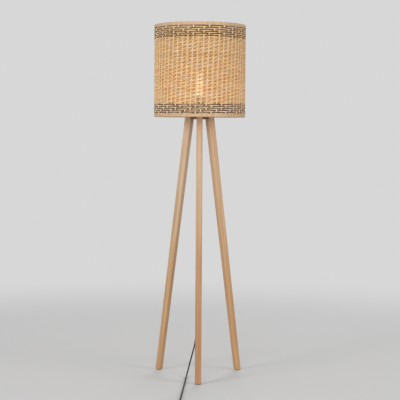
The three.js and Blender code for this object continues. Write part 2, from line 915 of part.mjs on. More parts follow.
// A round coil: in on the lower layer, up in half a turn on the inside, and out on the upper layer.
function coilPoints(perTurn) {
  const turns = 2 * coilTurnsPerLayer + 0.5;
  const points = [new THREE.Vector3(coilStartX, coilFaceY, coilBaseZ)];
  for (let i = 0; i <= turns * perTurn; i++) {
    const turn = i / perTurn;
    const climb = THREE.MathUtils.clamp((turn - coilTurnsPerLayer) / 0.5, 0, 1);
    const inward = Math.min(turn, turns / 2);
    const outward = Math.max(turn - turns / 2, 0);
    const radius = coilOuterRadius - coilPitch * (inward - outward);
    const angle = Math.PI - 2 * Math.PI * turn;
    const z = coilBaseZ + coilLayerRise * THREE.MathUtils.smoothstep(climb, 0, 1);
    points.push(
      new THREE.Vector3(coilX + radius * Math.cos(angle), coilY + radius * Math.sin(angle), z),
    );
  }
  points.push(new THREE.Vector3(coilEndX, coilFaceY, coilTopZ));
  return points;
}

// The least gap between two stretches of the coil that are more than a quarter turn apart.
function leastCoilGap() {
  const perTurn = 96;
  const points = coilPoints(perTurn);
  let least = Infinity;
  points.forEach((a, i) => {
    for (let j = i + perTurn / 4; j < points.length; j++) {
      least = Math.min(least, a.distanceTo(points[j]) - cordDiameter);
    }
  });
  return least;
}
console.log("least gap in the coil: " + leastCoilGap().toFixed(2) + " mm");

const coilStepsPerTurn = 24;
const coilPath = new THREE.CatmullRomCurve3(coilPoints(coilStepsPerTurn), false, "centripetal");
coilPath.arcLengthDivisions = 2400;
const coilSteps = coilStepsPerTurn * (2 * coilTurnsPerLayer + 0.5);

// A flat strap round the strands of the coil, on the side away from its ends.
function tieGeometry() {
  const inside = coilOuterRadius - 1.75 * coilPitch - cordRadius - 3 * seat;
  const outside = coilOuterRadius - 0.75 * coilPitch + cordRadius + 2 * seat;
  const [low, high] = [coilBaseZ - cordRadius - seat, coilTopZ + cordRadius + seat];
  const frame = (margin) => [
    new THREE.Vector2(-outside - margin, low - margin),
    new THREE.Vector2(-inside + margin, low - margin),
    new THREE.Vector2(-inside + margin, high + margin),
    new THREE.Vector2(-outside - margin, high + margin),
  ];
  const outline = new THREE.Shape(frame(tieSheet));
  outline.holes.push(new THREE.Path(frame(0).reverse()));
  return extruded(outline, tieWidth)
    .translate(0, 0, -tieWidth / 2)
    .rotateX(Math.PI / 2)
    .rotateZ(Math.PI / 2)
    .translate(coilX, coilY, 0);
}

group.add(
  part("cord_to_switch", swept(cordPath(cordDropRoute), cordSides, 62), blackFlex),
  part("cord_to_coil", swept(cordPath(cordReturnRoute), cordSides, 14), blackFlex),
  part("cord_coil", swept(coilPath, 6, coilSteps), blackFlex),
  part("cord_to_plug", swept(cordPath(plugLeadRoute), cordSides, 4), blackFlex),
  part("cord_tie", tieGeometry(), blackFlex),
);

// Inline foot switch, drawn along X and turned so that the cord runs through it along Y.
function switchBaseGeometry() {
  return extruded(roundedRectangle(switchLength, switchWidth, switchCorner), switchBaseHeight);
}

function switchCoverGeometry() {
  const low = switchBaseHeight + seat;
  const outline = roundedRectangle(
    switchLength - 2 * switchBevel,
    switchWidth - 2 * switchBevel,
    switchCorner - switchBevel,
  );
  const body = new THREE.ExtrudeGeometry(outline, {
    depth: switchHeight - low - switchBevel,
    bevelThickness: switchBevel,
    bevelSize: switchBevel,
    bevelSegments: 3,
    curveSegments: 6,
  }).translate(0, 0, low);
  const hollow = extruded(
    roundedRectangle(
      switchLength - 2 * switchBevel - 2 * switchWall,
      switchWidth - 2 * switchBevel - 2 * switchWall,
      switchCorner - switchBevel - switchWall,
    ),
    switchHeight - switchWall - low + overrun,
  ).translate(0, 0, low - overrun);
  const below = extruded(
    roundedRectangle(switchLength + overrun, switchWidth + overrun, switchCorner),
    switchBevel + overrun,
  ).translate(0, 0, low - switchBevel - overrun);
  const hole = bar(buttonRadius + seat, switchBaseHeight, switchHeight + overrun);
  return geometryOf(
    solidOf(body).subtract(solidOf(below)).subtract(solidOf(hollow)).subtract(solidOf(hole)),
  );
}

function buttonGeometry() {
  const top = switchHeight + buttonProud;
  const flangeTopZ = switchHeight - switchWall - seat;
  const flangeLow = flangeTopZ - buttonFlangeThickness;
  return turned([
    [0, flangeLow],
    [buttonRadius + buttonFlange, flangeLow],
    [buttonRadius + buttonFlange, flangeTopZ],
    [buttonRadius, flangeTopZ],
    [buttonRadius, top - switchWall / 2],
    [buttonRadius - switchWall / 2, top],
    [0, top],
  ]);
}

const springLow = switchBaseHeight + seat;
const springHigh = switchHeight - switchWall - buttonFlangeThickness - 2 * seat;
const footSwitch = new THREE.Group();
footSwitch.add(
  part("switch_base", switchBaseGeometry(), blackPlastic),
  part("switch_cover", switchCoverGeometry(), blackPlastic),
  part("switch_button", buttonGeometry(), blackPlastic),
  part("switch_spring", tube(springRadius, springRadius - springWall, springLow, springHigh), steel),
  part(
    "switch_relief_in",
    reliefGeometry(switchReliefLength, switchReliefRadius)
      .rotateY(Math.PI / 2)
      .translate(-switchLength / 2 - seat, 0, switchCordHeight),
    blackFlex,
  ),
  part(
    "switch_relief_out",
    reliefGeometry(switchReliefLength, switchReliefRadius)
      .rotateY(-Math.PI / 2)
      .translate(switchLength / 2 + seat, 0, switchCordHeight),
    blackFlex,
  ),
);
footSwitch.rotation.z = -Math.PI / 2;
footSwitch.position.set(switchX, switchInletY - switchLength / 2, 0);
group.add(footSwitch);

// Flat two-pin plug, drawn with its pins along +X.
function plugBodyGeometry() {
  const [x, y, neck] = [plugLength, plugWidth / 2, plugReliefRadius + plugBevel];
  const outline = new THREE.Shape([
    new THREE.Vector2(plugBevel, -neck),
    new THREE.Vector2(plugShoulder, plugBevel - y),
    new THREE.Vector2(x - plugBevel, plugBevel - y),
    new THREE.Vector2(x - plugBevel, y - plugBevel),
    new THREE.Vector2(plugShoulder, y - plugBevel),
    new THREE.Vector2(plugBevel, neck),
  ]);
  return new THREE.ExtrudeGeometry(outline, {
    depth: plugThickness - 2 * plugBevel,
    bevelThickness: plugBevel,
    bevelSize: plugBevel,
    bevelSegments: 2,
  }).translate(0, 0, plugBevel);
}

function pinGeometry() {
  return turned(
    [
      [0, 0],
      [pinRadius, 0],
      [pinRadius, pinLength - pinRadius],
      [pinRadius / 2, pinLength],
      [0, pinLength],
    ],
    smallSides,
  ).rotateY(Math.PI / 2);
}

const plug = new THREE.Group();
plug.add(
  part("plug_body", plugBodyGeometry(), blackPlastic),
  part(
    "plug_relief",
    reliefGeometry(plugReliefLength, plugReliefRadius)
      .rotateY(Math.PI / 2)
      .translate(-seat, 0, plugThickness / 2),
    blackFlex,
  ),
);
for (const [name, side] of [["left", 1], ["right", -1]]) {
  const pin = part("plug_pin_" + name, pinGeometry(), steel);
  pin.position.set(plugLength + seat, (side * pinSpacing) / 2, plugThickness / 2);
  plug.add(pin);
}
plug.rotation.z = -Math.PI / 2;
plug.position.set(coilEndX, plugReliefTipY - plugReliefLength - 2 * seat, 0);
group.add(plug);

export default group;
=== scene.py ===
"""A rattan floor lamp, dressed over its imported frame. Metres, +Z up, the front leg towards -Y."""
import math
import random

import bmesh
import bpy
from mathutils import Matrix, Vector


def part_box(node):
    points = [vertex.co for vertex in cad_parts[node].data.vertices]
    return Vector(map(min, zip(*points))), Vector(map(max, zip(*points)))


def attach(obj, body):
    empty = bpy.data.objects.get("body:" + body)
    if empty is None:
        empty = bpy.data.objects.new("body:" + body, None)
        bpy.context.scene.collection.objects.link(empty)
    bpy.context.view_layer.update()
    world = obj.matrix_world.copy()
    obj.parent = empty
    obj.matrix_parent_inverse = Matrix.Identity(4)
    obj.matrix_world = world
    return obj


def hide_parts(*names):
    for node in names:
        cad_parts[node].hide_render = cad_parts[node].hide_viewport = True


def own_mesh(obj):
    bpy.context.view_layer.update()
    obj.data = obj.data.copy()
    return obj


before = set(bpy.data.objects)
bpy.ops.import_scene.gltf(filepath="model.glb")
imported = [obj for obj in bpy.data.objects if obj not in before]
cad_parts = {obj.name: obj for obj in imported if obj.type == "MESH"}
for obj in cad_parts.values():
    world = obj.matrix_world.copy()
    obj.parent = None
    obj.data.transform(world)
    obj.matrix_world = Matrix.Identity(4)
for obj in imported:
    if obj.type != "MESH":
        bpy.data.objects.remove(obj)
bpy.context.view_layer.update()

# Camera: 5 m in front of the lamp, a little below the shade's rim, and tilted down a little.
# It is rolled a little too, which shares out the lean of the photographed tripod.
photo_pixels = 400
focal_pixels = 1166.9
camera_tilt, camera_roll, camera_turn = 2.968, 0.35, 0.023
viewpoint = bpy.data.cameras.new("camera")
viewpoint.sensor_width = 36
viewpoint.lens = viewpoint.sensor_width * focal_pixels / photo_pixels
viewpoint.shift_y = -0.03
camera = bpy.data.objects.new("camera", viewpoint)
camera.location = (0, -5.12, 1.091)
camera.rotation_euler = [
    math.radians(degrees) for degrees in (90 - camera_tilt, -camera_roll, -camera_turn)
]
bpy.context.collection.objects.link(camera)
bpy.context.scene.camera = camera
bpy.context.scene.view_settings.view_transform = "Standard"


# Flex: one round two-core cord with a matte black PVC sheath, 6 mm thick. It hangs in the middle of the
# tripod, crosses behind the front leg to the floor, and runs to the foot switch. The spare length after
# the switch is wound into a tied coil that ends in the plug.
class Value:
    """A socket of a finish. Sums and products of it add their Math nodes."""

    def __init__(self, finish, socket):
        self.finish = finish
        self.socket = socket

    def __add__(self, other):
        return self.finish.math("ADD", self, other)

    def __sub__(self, other):
        return self.finish.math("SUBTRACT", self, other)

    def __mul__(self, other):
        return self.finish.math("MULTIPLY", self, other)

    def __rsub__(self, other):
        return self.finish.math("SUBTRACT", other, self)

    __radd__ = __add__
    __rmul__ = __mul__


class Finish:
    """A material, or the world, whose nodes all come from one method."""

    def __init__(self, name, world=False):
        self.material = (bpy.data.worlds if world else bpy.data.materials).new(name)
        self.material.use_nodes = True
        self.material.node_tree.nodes.clear()

    def node(self, kind, settings=None, sockets=None, result=0):
        """Adds a node: its settings first, then the values or links of its sockets."""
        tree = self.material.node_tree
        node = tree.nodes.new(kind)
        for name, value in (settings or {}).items():
            setattr(node, name, value)
        for name, value in (sockets or {}).items():
            if isinstance(value, Value):
                tree.links.new(value.socket, node.inputs[name])
            else:
                node.inputs[name].default_value = value
        return Value(self, node.outputs[result]) if node.outputs else None

    def math(self, operation, *values):
        return self.node("ShaderNodeMath", {"operation": operation}, dict(enumerate(values)))

    def place(self):
        """Object coordinates: the vector, then x, y and z."""
        vector = self.node("ShaderNodeTexCoord", result="Object")
        return vector, *self.parts(vector)

    def parts(self, vector):
        return [self.node("ShaderNodeSeparateXYZ", None, {0: vector}, axis) for axis in "XYZ"]

    def joined(self, x, y, z):
        return self.node("ShaderNodeCombineXYZ", None, {"X": x, "Y": y, "Z": z})

    def noise(self, vector, scale, detail=2.0, roughness=0.5):
        sockets = {"Vector": vector, "Scale": scale, "Detail": detail, "Roughness": roughness}
        return self.node("ShaderNodeTexNoise", None, sockets)

    def between(self, value, low, high):
        """0 at low, 1 at high, and smooth between them."""
        sockets = {"Value": value, "From Min": low, "From Max": high}
        return self.node("ShaderNodeMapRange", {"interpolation_type": "SMOOTHSTEP"}, sockets)

    def mixed(self, share, first, second):
        sockets = {0: share, 6: first, 7: second}
        return self.node("ShaderNodeMix", {"data_type": "RGBA"}, sockets, 2)

    def bump(self, height, distance, strength=1.0):
        sockets = {"Height": height, "Distance": distance, "Strength": strength}
        return self.node("ShaderNodeBump", None, sockets)

    def coated(self, **sockets):
        """Ends the material in a Principled shader: base_color sets its Base Color, and so on."""
        named = {
            name.replace("_", " ").title().replace("Ior", "IOR"): value
            for name, value in sockets.items()
        }
        return self.ended(self.node("ShaderNodeBsdfPrincipled", None, named))

    def thinned(self, share, shader, tint=(1, 1, 1, 1)):
        """Ends the material in a shader of which a share is clear."""
        clear = self.node("ShaderNodeBsdfTransparent", None, {"Color": tint})
        return self.ended(self.node("ShaderNodeMixShader", None, {0: share, 1: shader, 2: clear}))

    def ended(self, shader, output="ShaderNodeOutputMaterial"):
        self.node(output, None, {"Surface": shader})
        return self.material


flex_finish = Finish("black flex")
flex_place, *_ = flex_finish.place()
flex_grain = flex_finish.noise(flex_place, 900, 3)
flex_dust = flex_finish.between(flex_finish.noise(flex_place, 45, 4), 0.45, 0.8)
black_flex = flex_finish.coated(
    base_color=flex_finish.mixed(flex_dust, (0.012, 0.011, 0.010, 1), (0.026, 0.025, 0.023, 1)),
    roughness=0.55 + flex_dust * 0.15,
    specular_ior_level=0.2,
    normal=flex_finish.bump(flex_grain, 0.00012, 0.5),
)

flex_width = 0.006
sleeve_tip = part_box("cord_grip_sleeve")[0][2]
switch_low, switch_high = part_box("switch_base")
switch_middle = (Vector(switch_low) + Vector(switch_high)) / 2
drop_route = [
    (0, 0, sleeve_tip),
    (0, 0, 1.04),
    (-0.0003, 0, 0.94),
    (-0.0008, 0, 0.8),
    (-0.0015, 0.0005, 0.65),
    (-0.0025, 0.001, 0.5),
    (-0.0038, 0.0015, 0.38),
    (-0.0055, 0.0015, 0.28),
    (-0.0084, 0.001, 0.195),
    (-0.0158, 0, 0.131),
    (-0.0246, -0.005, 0.097),
    (-0.0336, -0.014, 0.0635),
    (-0.0424, -0.032, 0.032),
    (-0.0467, -0.048, 0.018),
    (-0.0506, -0.072, 0.007),
    (-0.0526, -0.098, 0.0035),
    (-0.0541, -0.124, 0.0031),
    (-0.0573, -0.2, 0.003),
    (-0.0606, -0.274, 0.003),
    (-0.0638, -0.345, 0.003),
    (-0.0669, -0.415, 0.003),
    (-0.07, -0.482, 0.003),
    (-0.0735, -0.53, 0.0031),
    (-0.0752, -0.552, 0.0036),
    (-0.076, -0.572, 0.006),
    (-0.076, -0.58, 0.006),
]
return_route = [
    (-0.076, -0.7045, 0.006),
    (-0.076, -0.712, 0.006),
    (-0.0756, -0.726, 0.0035),
    (-0.0701, -0.74, 0.003),
    (-0.0583, -0.7532, 0.003),
    (-0.042, -0.7596, 0.003),
    (-0.0252, -0.7586, 0.003),
    (-0.0094, -0.7496, 0.003),
    (0.0015, -0.735, 0.003),
    (0.0066, -0.718, 0.003),
    (0.0082, -0.698, 0.0032),
    (0.0082, -0.669, 0.0039),
]
coil_middle = Vector((0.051, -0.655))
layer_turns, climb_turns = 2, 0.5
coil_turns = 2 * layer_turns + climb_turns
coil_steps = 24
coil_outer_radius = 0.0428
coil_pitch = 0.0068
coil_low, coil_high = 0.0039, 0.0105
for step in range(int(coil_turns * coil_steps) + 1):
    turn = step / coil_steps
    climb = min(max((turn - layer_turns) / climb_turns, 0), 1)
    radius = coil_outer_radius - coil_pitch * (coil_turns / 2 - abs(turn - coil_turns / 2))
    angle = math.pi - 2 * math.pi * turn
    rise = climb * climb * (3 - 2 * climb)
    return_route.append(
        (
            coil_middle.x + radius * math.cos(angle),
            coil_middle.y + radius * math.sin(angle),
            coil_low + (coil_high - coil_low) * rise,
        )
    )
return_route += [
    (0.0938, -0.6613, 0.0105),
    (0.0938, -0.6686, 0.0105),
    (0.0938, -0.68, 0.0087),
    (0.0938, -0.6917, 0.00685),
    (0.0938, -0.6993, 0.00685),
]


def flex(name, route, *nodes):
    """A round cord through the points of its route, in place of its solids."""
    curve = bpy.data.curves.new(name, "CURVE")
    curve.dimensions = "3D"
    curve.bevel_depth = flex_width / 2
    curve.bevel_resolution = 4
    curve.use_fill_caps = True
    curve.resolution_u = 6
    line = curve.splines.new("BEZIER")
    line.bezier_points.add(len(route) - 1)
    for knot, point in zip(line.bezier_points, route):
        knot.co = point
        knot.handle_left_type = knot.handle_right_type = "AUTO"
    curve.materials.append(black_flex)
    cord = bpy.data.objects.new(name, curve)
    bpy.context.collection.objects.link(cord)
    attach(cord, "stand")
    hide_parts(*nodes)
    return cord


flex_to_switch = flex("flex_to_switch", drop_route, "cord_to_switch")
flex_to_plug = flex("flex_to_plug", return_route, "cord_to_coil", "cord_coil", "cord_to_plug")


# Floor and light: a plain pale floor that fades into a pale backdrop and doesn't show from below.
# A large soft lamp near the camera, two weaker ones at the sides and one behind light the lamp,
# with an even fill from all round.
floor_finish = Finish("studio floor")
floor_place, *_ = floor_finish.place()
floor_distance = floor_finish.node(
    "ShaderNodeVectorMath", {"operation": "LENGTH"}, {0: floor_place}, 1
)
floor_underside = floor_finish.node("ShaderNodeNewGeometry", result="Backfacing")
floor_fade = floor_finish.between(floor_distance, 1.6, 3.4)
floor_clear = floor_finish.math("MAXIMUM", floor_fade, floor_underside)
floor_colour = (0.66, 0.66, 0.66, 1)
floor_paint = floor_finish.node("ShaderNodeBsdfDiffuse", None, {"Color": floor_colour})
floor_shape = bmesh.new()
bmesh.ops.create_circle(floor_shape, cap_ends=True, segments=96, radius=3.5)
floor_mesh = bpy.data.meshes.new("floor")
floor_shape.to_mesh(floor_mesh)
floor_shape.free()
floor_mesh.materials.append(floor_finish.thinned(floor_clear, floor_paint))
floor = bpy.data.objects.new("floor", floor_mesh)
floor.location.z = -0.0005
bpy.context.collection.objects.link(floor)

backdrop = Finish("backdrop", world=True)
bpy.context.scene.world = backdrop.material
camera_ray, glossy_ray, through_ray = (
    backdrop.node("ShaderNodeLightPath", result=ray)
    for ray in ("Is Camera Ray", "Is Glossy Ray", "Is Transmission Ray")
)
seen = backdrop.math("MAXIMUM", camera_ray, backdrop.math("MAXIMUM", glossy_ray, through_ray))
strength = backdrop.node(
    "ShaderNodeMapRange", None, {"Value": seen, "To Min": 0.45, "To Max": 0.68}
)
glow = backdrop.node("ShaderNodeBackground", None, {"Color": (1, 1, 1, 1), "Strength": strength})
backdrop.ended(glow, "ShaderNodeOutputWorld")

for lamp_name, place, aim, side, watts in (
    ("front_light", (-0.8, -7.5, 1.75), (0, 0, 0.8), 3.4, 238),
    ("left_light", (-5.2, -4.6, 2.7), (0, 0, 0.8), 2.4, 160),
    ("right_light", (5.6, -3.4, 2.8), (0, 0, 0.8), 2.4, 125),
    ("back_light", (0.8, 5.2, 4.2), (0, 0, 1.0), 3.0, 110),
):
    lamp = bpy.data.lights.new(lamp_name, "AREA")
    lamp.size = side
    lamp.energy = watts
    softbox = bpy.data.objects.new(lamp_name, lamp)
    softbox.location = place
    softbox.rotation_euler = (Vector(aim) - Vector(place)).to_track_quat("-Z", "Y").to_euler()
    bpy.context.collection.objects.link(softbox)


# Legs: three square beech legs, sawn from one board each, planed, eased along their edges and clear
# lacquered. They are a little deeper at the head, where each is bolted to a face of the hub.
def fitted(name, shape, material, body, nodes=(), ease=0.0):
    """Makes an object of a shape, on a body, in place of its nodes; ease rounds its sharp edges."""
    mesh = bpy.data.meshes.new(name)
    shape.to_mesh(mesh)
    shape.free()
    mesh.shade_smooth()
    sharp = math.radians(35)
    mesh.set_sharp_from_angle(angle=sharp)
    mesh.materials.append(material)
    piece = bpy.data.objects.new(name, mesh)
    bpy.context.collection.objects.link(piece)
    if ease:
        rounding = piece.modifiers.new("eased edges", "BEVEL")
        rounding.width = ease
        rounding.segments = 2
        rounding.limit_method = "ANGLE"
        rounding.angle_limit = sharp
        rounding.harden_normals = True
    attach(piece, body)
    if nodes:
        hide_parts(*nodes)
    return piece


def rounded(shape, radius, segments, edges=None):
    """Rounds edges of a shape, or else its upright ones."""
    upright = [edge for edge in shape.edges if abs(edge.verts[0].co.z - edge.verts[1].co.z) > 0.001]
    how = {"segments": segments, "profile": 0.5, "affect": "EDGES", "material": -1}
    bmesh.ops.bevel(shape, geom=edges or upright, offset=radius, **how)


def moved(shape, offset, turn=None):
    """Turns a shape about the origin, then shifts it."""
    if turn:
        bmesh.ops.rotate(shape, cent=(0, 0, 0), matrix=turn, verts=shape.verts)
    bmesh.ops.translate(shape, vec=offset, verts=shape.verts)


def beech(name, light, dark, painted_foot_shade):
    """Lacquered beech, darker towards the foot by a share of each colour: painted shade. Its attribute
    grain holds the place in the board, with z along the fibres."""
    finish = Finish(name)
    grain = finish.node("ShaderNodeAttribute", {"attribute_name": "grain"}, result="Vector")
    x, y, z = finish.parts(grain)
    warp = finish.noise(finish.joined(x * 9, y * 9, z * 1.6), 1.0, 3)
    rings = finish.noise(finish.joined(x + warp * 0.02, y + warp * 0.03, z * 0.012), 190, 4, 0.6)
    fibres = finish.noise(finish.joined(x, y, z * 0.02), 1500, 3, 0.6)
    flecks = finish.between(finish.noise(finish.joined(x, y, z * 0.14), 1400, 1), 0.66, 0.76)
    tone = finish.between(rings, 0.32, 0.7)
    foot_shaded_light, foot_shaded_dark = (
        tuple(part * share for part, share in zip(colour, (*painted_foot_shade, 1)))
        for colour in (light, dark)
    )
    height = finish.place()[3]
    # Painted shade: the board's colours darken towards the foot, between 0.98 m and 0.3 m.
    board = finish.mixed(
        finish.between(height, 0.98, 0.3),
        finish.mixed(tone, dark, light),
        finish.mixed(tone, foot_shaded_dark, foot_shaded_light),
    )
    shaded = finish.mixed(finish.between(fibres, 0.4, 0.85) * 0.3, board, foot_shaded_dark)
    fleck_colour = tuple(0.72 * part for part in dark[:3]) + (1,)
    return finish.coated(
        base_color=finish.mixed(flecks * 0.55, shaded, fleck_colour),
        roughness=0.42 + fibres * 0.16,
        normal=finish.bump(fibres + rings * 0.6, 0.00018, 0.45),
    )


# Lit and shaded copies of one beech: each leg's colours and foot shade are set by how light falls on
# its side.
lit_leg_finishes = {
    side: beech("beech " + side, light, dark, painted_foot_shade)
    for side, light, dark, painted_foot_shade in (
        ("front", (0.55, 0.385, 0.230, 1), (0.39, 0.230, 0.120, 1), (0.77, 0.56, 0.38)),
        ("right", (0.60, 0.410, 0.246, 1), (0.455, 0.280, 0.151, 1), (0.88, 0.76, 0.60)),
        ("left", (0.58, 0.413, 0.268, 1), (0.435, 0.284, 0.167, 1), (0.88, 0.75, 0.57)),
    )
}
leg_width = 0.027
leg_foot_depth = 0.022
leg_head_depth = 0.032
leg_slope = math.tan(math.radians(7.67))
leg_corner = 0.0016
board_step = (0.31, 0.17, 0.9)
hub_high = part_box("hub")[1][2]
leg_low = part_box("leg_front")[0][2]
foot_reach = (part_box("foot_pad_front")[0][1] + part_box("foot_pad_front")[1][1]) / -2
sides = (("front", -90), ("right", 30), ("left", 150))
for number, (side, degrees) in enumerate(sides):
    leg = bmesh.new()
    bmesh.ops.create_cube(leg, size=1)
    bmesh.ops.scale(leg, vec=(leg_foot_depth, leg_width, hub_high - leg_low), verts=leg.verts)
    rounded(leg, leg_corner, 3)
    moved(leg, (0, 0, (hub_high + leg_low) / 2))
    grain = leg.verts.layers.float_vector.new("grain")
    for corner in leg.verts:
        corner[grain] = corner.co + Vector([part * number for part in board_step])
        share = corner.co.z / hub_high
        depth = 1 + share * (leg_head_depth / leg_foot_depth - 1)
        corner.co.x = corner.co.x * depth + foot_reach - leg_slope * (corner.co.z - leg_low)
    moved(leg, (0, 0, 0), Matrix.Rotation(math.radians(degrees), 3, "Z"))
    node = "leg_" + side
    fitted("square_" + node, leg, lit_leg_finishes[side], "stand", [node], ease=0.0007)


# Hub and joints: a six-sided block of beech, drilled for the rod, and coloured very dark as painted
# shade from the drum above it. Each leg is drawn against it by a zinc-plated furniture bolt in a brass
# insert, and a dowel keeps it from turning.
def dressed(material, *nodes):
    """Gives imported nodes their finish."""
    for name in nodes:
        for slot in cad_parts[name].material_slots:
            slot.material = material


def metal(name, colour, roughness):
    finish = Finish(name)
    place, *_ = finish.place()
    haze = finish.noise(place, 220, 4, 0.6)
    return finish.coated(
        base_color=finish.mixed(haze * 0.4, colour, tuple(0.62 * c for c in colour[:3]) + (1,)),
        metallic=1.0,
        roughness=roughness + haze * 0.16,
        normal=finish.bump(finish.noise(place, 1600, 2), 0.00006, 0.4),
    )


zinc = metal("zinc plate", (0.56, 0.57, 0.58, 1), 0.24)
yellow_brass = metal("brass", (0.78, 0.56, 0.24, 1), 0.22)

# Painted shade: the hub's beech is coloured very dark, for the shadow it sits in under the drum.
block_finish = Finish("hub beech")
_, block_x, block_y, block_z = block_finish.place()
block_rings = block_finish.noise(block_finish.joined(block_x * 0.05, block_y, block_z), 260, 4, 0.6)
block_fibres = block_finish.noise(block_finish.joined(block_x * 0.03, block_y, block_z), 1500, 3)
shade_dark_hub_beech = block_finish.coated(
    base_color=block_finish.mixed(
        block_finish.between(block_rings, 0.3, 0.7), (0.13, 0.070, 0.042, 1), (0.21, 0.115, 0.070, 1)
    ),
    roughness=0.45 + block_fibres * 0.15,
    normal=block_finish.bump(block_fibres, 0.00018, 0.4),
)
dressed(shade_dark_hub_beech, "hub", "leg_dowel_front", "leg_dowel_right", "leg_dowel_left")
dressed(zinc, "leg_bolt_front", "leg_bolt_right", "leg_bolt_left", "rod_nut", "threaded_rod")
dressed(yellow_brass, "leg_insert_front", "leg_insert_right", "leg_insert_left")


# Foot pads: discs of pressed brown felt, which keep the feet off the floor. Each is fixed by a nail
# driven through it into the end of its leg.
def grained(name, fineness, dark, light, roughness, swing, depth):
    """One grain: its noise, two colours, roughness and how far that varies, and its bump."""
    finish = Finish(name)
    place, *_ = finish.place()
    grain = finish.noise(place, *fineness)
    return finish.coated(
        base_color=finish.mixed(grain, (*dark, 1), (*light, 1)),
        roughness=roughness + grain * swing if swing else roughness,
        normal=finish.bump(grain, *depth),
    )


felt = grained(
    "pressed felt", (1900, 4, 0.7), (0.07, 0.045, 0.03), (0.22, 0.16, 0.11), 0.95, 0, (0.0005, 0.9)
)
dressed(felt, "foot_pad_front", "foot_pad_right", "foot_pad_left")


# Cord grip: a black moulded cap on the end of the hollow rod. A ribbed, tapering sleeve under it eases
# the flex out of the stand, and the same sleeve serves at the switch and the plug.
def spun(shape, steps, angle=2 * math.pi, **options):
    """Spins all of a shape about Z."""
    bmesh.ops.spin(
        shape,
        geom=shape.verts[:] + shape.edges[:] + shape.faces[:],
        cent=(0, 0, 0),
        axis=(0, 0, 1),
        angle=angle,
        steps=steps,
        **options,
    )


def turned(profile, steps=48):
    """A body turned about Z from (radius, height) points that end on the axis or meet each other."""
    body = bmesh.new()
    rim = [body.verts.new((radius, 0, height)) for radius, height in profile]
    for one, other in zip(rim, rim[1:]):
        body.edges.new((one, other))
    spun(body, steps, use_merge=True)
    bmesh.ops.remove_doubles(body, verts=body.verts, dist=0.000001)
    bmesh.ops.recalc_face_normals(body, faces=body.faces)
    return body


moulded_finish = Finish("black moulding")
moulded_place, *_ = moulded_finish.place()
moulded_grain = moulded_finish.noise(moulded_place, 1300, 3, 0.6)
moulded_wear = moulded_finish.between(moulded_finish.noise(moulded_place, 60, 4), 0.5, 0.8)
black_moulding = moulded_finish.coated(
    base_color=moulded_finish.mixed(moulded_wear, (0.013, 0.012, 0.011, 1), (0.024, 0.023, 0.022, 1)),
    roughness=0.3 + moulded_grain * 0.12 + moulded_wear * 0.08,
    normal=moulded_finish.bump(moulded_grain, 0.0001, 0.4),
)


def moulded(name, shape, nodes=(), ease=0.0, body="stand"):
    fitted(name, shape, black_moulding, body, nodes, ease)


grip_low, grip_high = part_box("cord_grip")
grip_radius = grip_high[0]
grip_ease = 0.0012
groove_depth = 0.0006
rod_bore = 0.0053
rod_seat = grip_high[2] - 0.0085
grip = turned(
    [
        (flex_width / 2, grip_low[2]),
        (grip_radius - grip_ease, grip_low[2]),
        (grip_radius, grip_low[2] + grip_ease),
        (grip_radius, grip_low[2] + 0.006),
        (grip_radius - groove_depth, grip_low[2] + 0.0064),
        (grip_radius - groove_depth, grip_low[2] + 0.0072),
        (grip_radius, grip_low[2] + 0.0076),
        (grip_radius, grip_high[2]),
        (rod_bore, grip_high[2]),
        (rod_bore, rod_seat),
        (flex_width / 2, rod_seat),
        (flex_width / 2, grip_low[2]),
    ]
)
moulded("grip_cap", grip, ["cord_grip"], ease=0.0004)


def relief(name, base, along, length, base_radius, node):
    """A ribbed sleeve from its wide base along a direction to its tip."""
    tip_radius = flex_width / 2 + 0.001
    ribs, rib_depth = 7, 0.0006
    profile = [(flex_width / 2, 0), (base_radius, 0)]
    for rib in range(ribs):
        near = length * (rib + 0.55) / (ribs + 0.6)
        far = length * (rib + 1.0) / (ribs + 0.6)
        near_radius = base_radius + (tip_radius - base_radius) * near / length
        far_radius = base_radius + (tip_radius - base_radius) * far / length
        profile += [
            (near_radius, near),
            (near_radius - rib_depth, near + 0.0002),
            (far_radius - rib_depth, far - 0.0002),
            (far_radius, far),
        ]
    profile += [(tip_radius, length), (flex_width / 2, length), (flex_width / 2, 0)]
    sleeve = turned(profile, 28)
    turn = Vector((0, 0, 1)).rotation_difference(Vector(along)).to_matrix()
    moved(sleeve, base, turn)
    return fitted(name, sleeve, black_flex, "stand", [node], ease=0.00012)


sleeve_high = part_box("cord_grip_sleeve")[1]
sleeve_length = sleeve_high[2] - sleeve_tip
relief("grip_sleeve", (0, 0, sleeve_high[2]), (0, 0, -1), sleeve_length, 0.0056, "cord_grip_sleeve")
dressed(black_flex, "inner_flex")


# Lampholder: a black moulded cap and a threaded shell with a flange for the shade, over a ceramic
# insert with a brass screw sleeve and a spring contact.
holder_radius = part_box("holder_cap")[1][0]
cap_low, cap_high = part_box("holder_cap")[0][2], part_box("holder_cap")[1][2]
holder_cap = turned(
    [
        (rod_bore, cap_low),
        (0.009, cap_low),
        (0.009, cap_low + 0.006),
        (0.0105, cap_low + 0.0075),
        (0.0158, cap_low + 0.0105),
        (0.0184, cap_low + 0.0145),
        (holder_radius, cap_low + 0.0185),
        (holder_radius, cap_high),
        (holder_radius - 0.002, cap_high),
        (holder_radius - 0.002, cap_high - 0.0033),
        (holder_radius - 0.004, cap_high - 0.0033),
        (holder_radius - 0.004, cap_low + 0.018),
        (0.009, cap_low + 0.009),
        (rod_bore, cap_low + 0.009),
        (rod_bore, cap_low),
    ]
)
moulded("holder_dome", holder_cap, ["holder_cap"], ease=0.0004)

